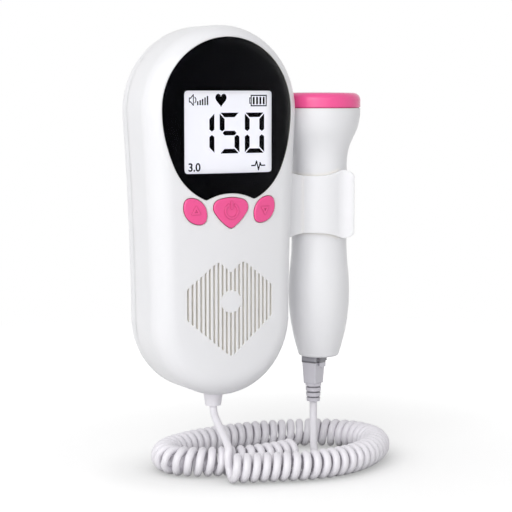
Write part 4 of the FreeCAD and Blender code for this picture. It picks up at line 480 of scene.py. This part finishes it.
# The horn has one sound wave in front of it, then five bars that rise from one foot.
HORN = ((-0.35, -0.7), (-0.35, 0.7), (0.2, 0.7), (1.25, 1.9), (1.25, -1.9), (0.2, -0.7), (-0.35, -0.7))
WAVE = ((1.9, -1.0), (2.25, -0.4), (2.25, 0.4), (1.9, 1.0))
HORN_X, HORN_Z, HORN_LINE, WAVE_LINE = -15.15, 11.6, 0.36, 0.34
stroke(HORN, HORN_LINE, HORN_X, HORN_Z)
stroke(WAVE, WAVE_LINE, HORN_X, HORN_Z)
BAR_FOOT, BAR_WIDTH = 9.75, 0.56
for bar_x, bar_height in ((-12.15, 1.45), (-11.17, 1.85), (-10.19, 2.25), (-9.21, 2.75), (-8.23, 3.3)):
    plate([(bar_x - BAR_WIDTH / 2, BAR_FOOT), (bar_x + BAR_WIDTH / 2, BAR_FOOT),
           (bar_x + BAR_WIDTH / 2, BAR_FOOT + bar_height), (bar_x - BAR_WIDTH / 2, BAR_FOOT + bar_height)])

PULSE = ((-2.7, 0), (-1.3, 0), (-0.7, 1.5), (0.1, -1.5), (0.8, 0.9), (1.2, 0), (2.7, 0))
PULSE_X, PULSE_Z, PULSE_LINE = 12.5, -12.25, 0.48
stroke(PULSE, PULSE_LINE, PULSE_X, PULSE_Z)

FREQUENCY_SIZE, FREQUENCY_BOLD = 4.1 * MM, 0.1 * MM
FREQUENCY_X, FREQUENCY_Z = -16.1 * MM, -13.85 * MM
WELD = 0.001 * MM
number = bpy.data.curves.new("frequency_text", "FONT")
number.body = "3.0"
number.size = FREQUENCY_SIZE
number.offset = FREQUENCY_BOLD
number_object = bpy.data.objects.new("frequency_text", number)
number_mesh = bpy.data.meshes.new_from_object(number_object)
bpy.data.objects.remove(number_object)
number_mesh.transform(Matrix.Translation((LAYOUT_X + FREQUENCY_X, glass_low.y, LAYOUT_Z + FREQUENCY_Z))
                      @ Matrix.Rotation(math.radians(90), 4, "X"))
frequency = bmesh.new()
frequency.from_mesh(number_mesh)
bmesh.ops.remove_doubles(frequency, verts=frequency.verts, dist=WELD)
thickened(frequency, list(frequency.faces), SEGMENT_DEPTH)
frequency.to_mesh(number_mesh)
frequency.free()
segments.from_mesh(number_mesh)
crystal_black = moulded("crystal_black", "#050506", "#070708", 0.5, 0.8, 0.001, IOR=1.5,
                        Specular_IOR_Level=0.03)
finished("display_segments", segments, crystal_black)


# ---------------------------------------------------------------------------------------------------
# Dust cloth
# A disc of pale polyester mesh, cut from flat cloth and stretched over the foam ring in front of the
# speaker, behind the crowned wall. It keeps dust out and is the light ground in the slots of the grille.
# ---------------------------------------------------------------------------------------------------

WALL_CROWN = 167.6 * MM
CLOTH_RADIUS = 18.6 * MM
CLOTH_THICKNESS = 0.12 * MM
CLOTH_FRONT = -27.5 * MM
SPEAKER_HEIGHT = -35.5 * MM
CLOTH_SIDES = 72
STRIPS, STRIP_WIDTH = 6, 2.7 * MM

cloth = bmesh.new()
bmesh.ops.create_circle(cloth, cap_ends=True, segments=CLOTH_SIDES, radius=CLOTH_RADIUS)
for index in range(-STRIPS, STRIPS + 1):
    everything = list(cloth.verts) + list(cloth.edges) + list(cloth.faces)
    bmesh.ops.bisect_plane(cloth, geom=everything, plane_co=(index * STRIP_WIDTH, 0, 0),
                           plane_no=(1, 0, 0))
bmesh.ops.rotate(cloth, verts=cloth.verts, cent=(0, 0, 0),
                 matrix=Matrix.Rotation(math.radians(90), 3, "X"))
for vert in cloth.verts:
    vert.co.y = CLOTH_FRONT + WALL_CROWN - math.sqrt(WALL_CROWN ** 2 - vert.co.x ** 2)
    vert.co.z += SPEAKER_HEIGHT
bmesh.ops.recalc_face_normals(cloth, faces=cloth.faces)
bmesh.ops.solidify(cloth, geom=list(cloth.faces), thickness=CLOTH_THICKNESS)

# Woven threads 0.69 mm apart, coarser than in a real dust cloth so that they show. The wave turns by
# twenty radians for each unit of the scaled place.
THREAD_SPACING = 0.6908 * MM
THREAD_SCALE = 2 * math.pi / (20 * THREAD_SPACING)
woven, woven_tree = new_material("polyester_mesh")
woven_place = add(woven_tree, "ShaderNodeTexCoord").outputs["Object"]
warp = add(woven_tree, "ShaderNodeTexWave", [("Vector", woven_place)], bands_direction="X",
           Scale=THREAD_SCALE)
weft = add(woven_tree, "ShaderNodeTexWave", [("Vector", woven_place)], bands_direction="Z",
           Scale=THREAD_SCALE)
threads = add(woven_tree, "ShaderNodeMath", [(0, warp.outputs["Fac"]), (1, weft.outputs["Fac"])],
              operation="MAXIMUM")
yarn = add(woven_tree, "ShaderNodeMix", [("Factor", threads.outputs[0])], data_type="RGBA")
yarn.inputs["A"].default_value = linear("#BDB9B2")
yarn.inputs["B"].default_value = linear("#E6E3DC")
raised = add(woven_tree, "ShaderNodeBump", [("Height", threads.outputs[0])], Strength=0.6,
             Distance=0.05 * MM)
mesh_shader = add(woven_tree, "ShaderNodeBsdfPrincipled", [("Base Color", yarn.outputs["Result"]),
                                                           ("Normal", raised.outputs["Normal"])],
                  Roughness=0.8, Sheen_Weight=0.2)
add(woven_tree, "ShaderNodeOutputMaterial", [("Surface", mesh_shader.outputs["BSDF"])])
dust_cloth = finished("dust_cloth", cloth, woven)


# ---------------------------------------------------------------------------------------------------
# Parts behind the openings
# They show only through gaps, and when the cover is off or the probe unplugged: dull black mouldings,
# satin green board, plated steel, paper and foam, dark printed sleeves, chalky ceramic, cast epoxy and
# bright gold-flashed contacts.
# ---------------------------------------------------------------------------------------------------

def plated(name, colour, roughness, grain):
    """A plated metal with fine marks left by its forming."""
    material, tree = new_material(name)
    place = add(tree, "ShaderNodeTexCoord").outputs["Object"]
    marks = add(tree, "ShaderNodeTexNoise", [("Vector", place)], Scale=1 / (grain * MM), Detail=4.0)
    bump = add(tree, "ShaderNodeBump", [("Height", marks.outputs["Fac"])], Strength=0.4,
               Distance=0.004 * MM)
    shader = add(tree, "ShaderNodeBsdfPrincipled", [("Normal", bump.outputs["Normal"])],
                 Metallic=1.0, Roughness=roughness)
    shader.inputs["Base Color"].default_value = linear(colour)
    add(tree, "ShaderNodeOutputMaterial", [("Surface", shader.outputs["BSDF"])])
    return material


dress(moulded("black_moulding", "#161618", "#1A1A1D", 0.5, 0.5, 0.01, IOR=1.5),
      "lcd_frame", "board_chips", "headphone_jack", "tact_switches", "power_plunger", "up_plunger",
      "down_plunger", "probe_socket")
dress(moulded("green_board", "#1C5B38", "#184F31", 0.4, 0.6, 0.004, IOR=1.5), "main_board", "probe_board")
dress(plated("zinc_steel", "#B9BBBE", 0.35, 0.4), "board_screws", "case_screws", "clip_screws",
      "battery_springs", "battery_plates", "speaker_frame", "speaker_magnet")
dress(moulded("paper_and_foam", "#3A3A3D", "#303033", 0.85, 0.4, 0.05, IOR=1.45), "speaker_cone",
      "speaker_gasket")
dress(moulded("cell_sleeve", "#3C4248", "#363C42", 0.35, 0.8, 0.004, IOR=1.5), "battery_left",
      "battery_right")
dress(moulded("fired_ceramic", "#CFC7AD", "#C8BFA4", 0.6, 0.3, 0.01, IOR=1.6), "transducer_discs")
dress(moulded("cast_epoxy", "#3A3734", "#33302D", 0.45, 1.0, 0.02, IOR=1.55), "probe_backing")
dress(plated("gold_flash", "#D9B466", 0.25, 0.3), "plug_contacts", "probe_pins")


# ---------------------------------------------------------------------------------------------------
# Plug
# Smoke-grey polycarbonate, slightly see-through, with its latch. Near its top it is painted darker, partly
# the dark socket seen through it and partly painted shade under the probe. Where it leaves the probe its
# clear body shows as a darker collar, painted the same way, and the boot behind it is soft grey vinyl with
# cut grooves, painted darker in the grooves as shade.
# ---------------------------------------------------------------------------------------------------

PLUG_AXIS = Vector((45.5, -12.5, 0.0)) * MM
PLUG_TURN = math.radians(26.5)
PLUG_TOP = -58.95 * MM
COLLAR_SIZE = Vector((7.66, 6.76, 2.3)) * MM
COLLAR_ROUND, COLLAR_WALL, COLLAR_DROP = 0.75 * MM, 0.14 * MM, 0.03 * MM
SHADE_BLEND = 0.25


def smoky(name, colour, shade, transmission, turn, roughness):
    """Glossy smoke-grey polycarbonate: shade down to turn millimetres under its top, colour below.

    The darker tone is partly the dark inside seen through the plastic and partly painted shade under the
    probe.
    """
    material, tree = new_material(name)
    place = add(tree, "ShaderNodeTexCoord").outputs["Object"]
    height = add(tree, "ShaderNodeSeparateXYZ", [(0, place)]).outputs["Z"]
    rise = add(tree, "ShaderNodeMapRange", [("Value", height)], interpolation_type="SMOOTHSTEP",
               fixed=(("From Min", PLUG_TOP - (turn + SHADE_BLEND) * MM),
                      ("From Max", PLUG_TOP - (turn - SHADE_BLEND) * MM)))
    tint = add(tree, "ShaderNodeMix", [("Factor", rise.outputs["Result"])], data_type="RGBA")
    tint.inputs["A"].default_value = linear(colour)
    tint.inputs["B"].default_value = linear(shade)
    flow = add(tree, "ShaderNodeTexNoise", [("Vector", place)], Scale=1 / (0.9 * MM), Detail=3.0)
    bump = add(tree, "ShaderNodeBump", [("Height", flow.outputs["Fac"])], Strength=0.5, Distance=0.006 * MM)
    shader = add(tree, "ShaderNodeBsdfPrincipled", [("Base Color", tint.outputs["Result"]),
                                                    ("Normal", bump.outputs["Normal"])],
                 Roughness=roughness, IOR=1.58, Transmission_Weight=transmission)
    add(tree, "ShaderNodeOutputMaterial", [("Surface", shader.outputs["BSDF"])])
    return material


# Its top 2.3 mm is painted darker: partly the dark socket seen through, partly painted shade under the probe.
dress(smoky("smoke_polycarbonate", "#D6D4DC", "#87868C", 0.15, 2.3, 0.2), "plug_housing", "plug_latch")

collar = bmesh.new()
bmesh.ops.create_cube(collar, size=1.0)
bmesh.ops.scale(collar, vec=COLLAR_SIZE, verts=collar.verts)
bmesh.ops.bevel(collar, geom=[edge for edge in collar.edges
                              if abs(edge.verts[0].co.z - edge.verts[1].co.z) > COLLAR_SIZE.z / 2],
                offset=COLLAR_ROUND, affect="EDGES", segments=6, profile=0.5, material=-1)
bmesh.ops.delete(collar, geom=[face for face in collar.faces if abs(face.normal.z) > 0.5], context="FACES")
bmesh.ops.solidify(collar, geom=list(collar.faces), thickness=COLLAR_WALL)
bmesh.ops.rotate(collar, verts=collar.verts, cent=(0, 0, 0), matrix=Matrix.Rotation(PLUG_TURN, 3, "Z"))
bmesh.ops.translate(collar, verts=collar.verts,
                    vec=PLUG_AXIS + Vector((0, 0, PLUG_TOP - COLLAR_DROP - COLLAR_SIZE.z / 2)))
# The collar is painted dark and darkest along its lower line: partly the dark inside seen through its clear
# wall, partly painted shade at the step under the probe.
clear_body_and_shade = smoky("clear_plug_body_and_shade", "#6A696F", "#A09FA6", 0.05, 1.7, 0.15)
finished("plug_collar", collar, clear_body_and_shade, "plug")

# The boot widens from its foot up. What lies deeper than its ribs is painted darker, as shade in the
# grooves.
BOOT_FOOT, BOOT_HEIGHT = -76.65 * MM, 7.1 * MM
RIB_RADIUS, RIB_GROWTH = 2.6 * MM, 0.5 * MM
GROOVE_SHADE_STARTS, GROOVE_SHADE_DEEP = 0.05 * MM, 0.4 * MM
boot_vinyl, boot_tree = new_material("grooved_vinyl")
boot_place = add(boot_tree, "ShaderNodeTexCoord").outputs["Object"]
from_axis = add(boot_tree, "ShaderNodeVectorMath", [(0, boot_place)], fixed=((1, PLUG_AXIS),),
                operation="SUBTRACT")
flattened = add(boot_tree, "ShaderNodeVectorMath", [(0, from_axis.outputs[0])], fixed=((1, (1, 1, 0)),),
                operation="MULTIPLY")
radius = add(boot_tree, "ShaderNodeVectorMath", [(0, flattened.outputs[0])], operation="LENGTH")
boot_height = add(boot_tree, "ShaderNodeSeparateXYZ", [(0, boot_place)]).outputs["Z"]
rib = add(boot_tree, "ShaderNodeMapRange", [("Value", boot_height)],
          fixed=(("From Min", BOOT_FOOT), ("From Max", BOOT_FOOT + BOOT_HEIGHT), ("To Min", RIB_RADIUS),
                 ("To Max", RIB_RADIUS + RIB_GROWTH)))
sunk = add(boot_tree, "ShaderNodeMath", [(0, rib.outputs["Result"]), (1, radius.outputs["Value"])],
           operation="SUBTRACT")
groove_shade = add(boot_tree, "ShaderNodeMapRange", [("Value", sunk.outputs[0])],
             fixed=(("From Min", GROOVE_SHADE_STARTS), ("From Max", GROOVE_SHADE_DEEP)))
# Painted shade: the grooves get the darker grey.
boot_tint_and_shade = add(boot_tree, "ShaderNodeMix", [("Factor", groove_shade.outputs["Result"])], data_type="RGBA")
boot_tint_and_shade.inputs["A"].default_value = linear("#CFCCD4")
boot_tint_and_shade.inputs["B"].default_value = linear("#7D7B82")
boot_skin = add(boot_tree, "ShaderNodeTexNoise", [("Vector", boot_place)], Scale=1 / (0.7 * MM), Detail=3.0)
boot_bump = add(boot_tree, "ShaderNodeBump", [("Height", boot_skin.outputs["Fac"])], Strength=0.5,
                Distance=0.006 * MM)
boot_shader = add(boot_tree, "ShaderNodeBsdfPrincipled", [("Base Color", boot_tint_and_shade.outputs["Result"]),
                                                          ("Normal", boot_bump.outputs["Normal"])],
                  Roughness=0.4, IOR=1.52)
add(boot_tree, "ShaderNodeOutputMaterial", [("Surface", boot_shader.outputs["BSDF"])])
dress(boot_vinyl, "plug_boot")


# ---------------------------------------------------------------------------------------------------
# Floor and light
# A pale floor under the coil in a bright, even room, with two broad lamps on the unit's left. Near the
# object the floor is matt and takes its shadow, and further off it fades to plain white. Close round
# the coil a painted contact shadow darkens its colour by occlusion.
# ---------------------------------------------------------------------------------------------------

FLOOR_HEIGHT = COIL_HEIGHT * MM - COIL_DIAMETER / 2
FLOOR_MIDDLE = Vector((22.0, -24.0, 0.0)) * MM
FLOOR_REACH = 6.0
SHADOW_NEAR, SHADOW_FAR = 0.11, 0.42
NEAR_SHARE, NEAR_GLOW = 0.2, 2.1
CONTACT_SHADOW_REACH = 0.045
ROOM_STRENGTH = 0.53

floor_shape = bmesh.new()
bmesh.ops.create_grid(floor_shape, x_segments=1, y_segments=1, size=FLOOR_REACH)
bmesh.ops.translate(floor_shape, verts=floor_shape.verts, vec=(0, 0, FLOOR_HEIGHT))
floor_mesh = bpy.data.meshes.new("floor")
floor_shape.to_mesh(floor_mesh)
floor_shape.free()
floor = bpy.data.objects.new("floor", floor_mesh)
bpy.context.scene.collection.objects.link(floor)


def seen_rays(tree):
    """One for what the eye, a reflection or a clear piece looks at, and none for what lights the object."""
    path = add(tree, "ShaderNodeLightPath")
    both = add(tree, "ShaderNodeMath",
               [(0, path.outputs["Is Camera Ray"]), (1, path.outputs["Is Glossy Ray"])],
               operation="ADD", use_clamp=True)
    return add(tree, "ShaderNodeMath", [(0, both.outputs[0]), (1, path.outputs["Is Transmission Ray"])],
               operation="ADD", use_clamp=True).outputs[0]


pale_floor, floor_tree = new_material("pale_floor")
floor_place = add(floor_tree, "ShaderNodeTexCoord").outputs["Object"]
from_middle = add(floor_tree, "ShaderNodeVectorMath", [(0, floor_place)], fixed=((1, FLOOR_MIDDLE),),
                  operation="SUBTRACT")
reach = add(floor_tree, "ShaderNodeVectorMath", [(0, from_middle.outputs[0])], operation="LENGTH")
white_share = add(floor_tree, "ShaderNodeMapRange", [("Value", reach.outputs["Value"])],
                  interpolation_type="SMOOTHSTEP",
                  fixed=(("From Min", SHADOW_NEAR), ("From Max", SHADOW_FAR), ("To Min", NEAR_SHARE)))
# Painted contact shadow: the floor's colour darkens where the coil stands within the contact reach.
painted_contact_shadow = add(floor_tree, "ShaderNodeAmbientOcclusion", Distance=CONTACT_SHADOW_REACH, samples=8)
painted_contact_shadow.inputs["Color"].default_value = linear("#F6F6F6")
matt = add(floor_tree, "ShaderNodeBsdfDiffuse", [("Color", painted_contact_shadow.outputs["Color"])])
strength = add(floor_tree, "ShaderNodeMapRange", [("Value", reach.outputs["Value"])],
               interpolation_type="SMOOTHSTEP",
               fixed=(("From Min", SHADOW_NEAR), ("From Max", SHADOW_FAR), ("To Min", NEAR_GLOW),
                      ("To Max", 1.0)))
seen_white = add(floor_tree, "ShaderNodeEmission", [("Strength", strength.outputs["Result"])])
seen_white.inputs["Color"].default_value = (1, 1, 1, 1)
lift = add(floor_tree, "ShaderNodeMath", [(0, white_share.outputs["Result"]), (1, seen_rays(floor_tree))],
           operation="MULTIPLY")
blend = add(floor_tree, "ShaderNodeMixShader", [(0, lift.outputs[0]), (1, matt.outputs[0]),
                                                (2, seen_white.outputs[0])])
add(floor_tree, "ShaderNodeOutputMaterial", [("Surface", blend.outputs[0])])
floor_mesh.materials.append(pale_floor)

world = bpy.data.worlds.new("bright_room")
bpy.context.scene.world = world
world.use_nodes = True
room = world.node_tree
room.nodes.clear()
even = add(room, "ShaderNodeBackground", Strength=ROOM_STRENGTH)
even.inputs["Color"].default_value = (1, 1, 1, 1)
bright = add(room, "ShaderNodeBackground", Strength=1.0)
bright.inputs["Color"].default_value = (1, 1, 1, 1)
both_skies = add(room, "ShaderNodeMixShader", [(0, seen_rays(room)), (1, even.outputs[0]),
                                               (2, bright.outputs[0])])
add(room, "ShaderNodeOutputWorld", [("Surface", both_skies.outputs[0])])

LAMP_SIZE = 1.1
LAMPS = (("left_lamp", (-1.05, -0.66, 0.55), 9.0), ("front_left_lamp", (-0.6, -1.1, 0.4), 4.0))
for name, spot, power in LAMPS:
    lamp = bpy.data.objects.new(name, bpy.data.lights.new(name, "AREA"))
    bpy.context.scene.collection.objects.link(lamp)
    lamp.data.size = LAMP_SIZE
    lamp.data.energy = power
    lamp.location = spot
    lamp.rotation_euler = (-Vector(spot)).to_track_quat("-Z", "Y").to_euler()

bpy.context.scene.view_settings.view_transform = "Standard"
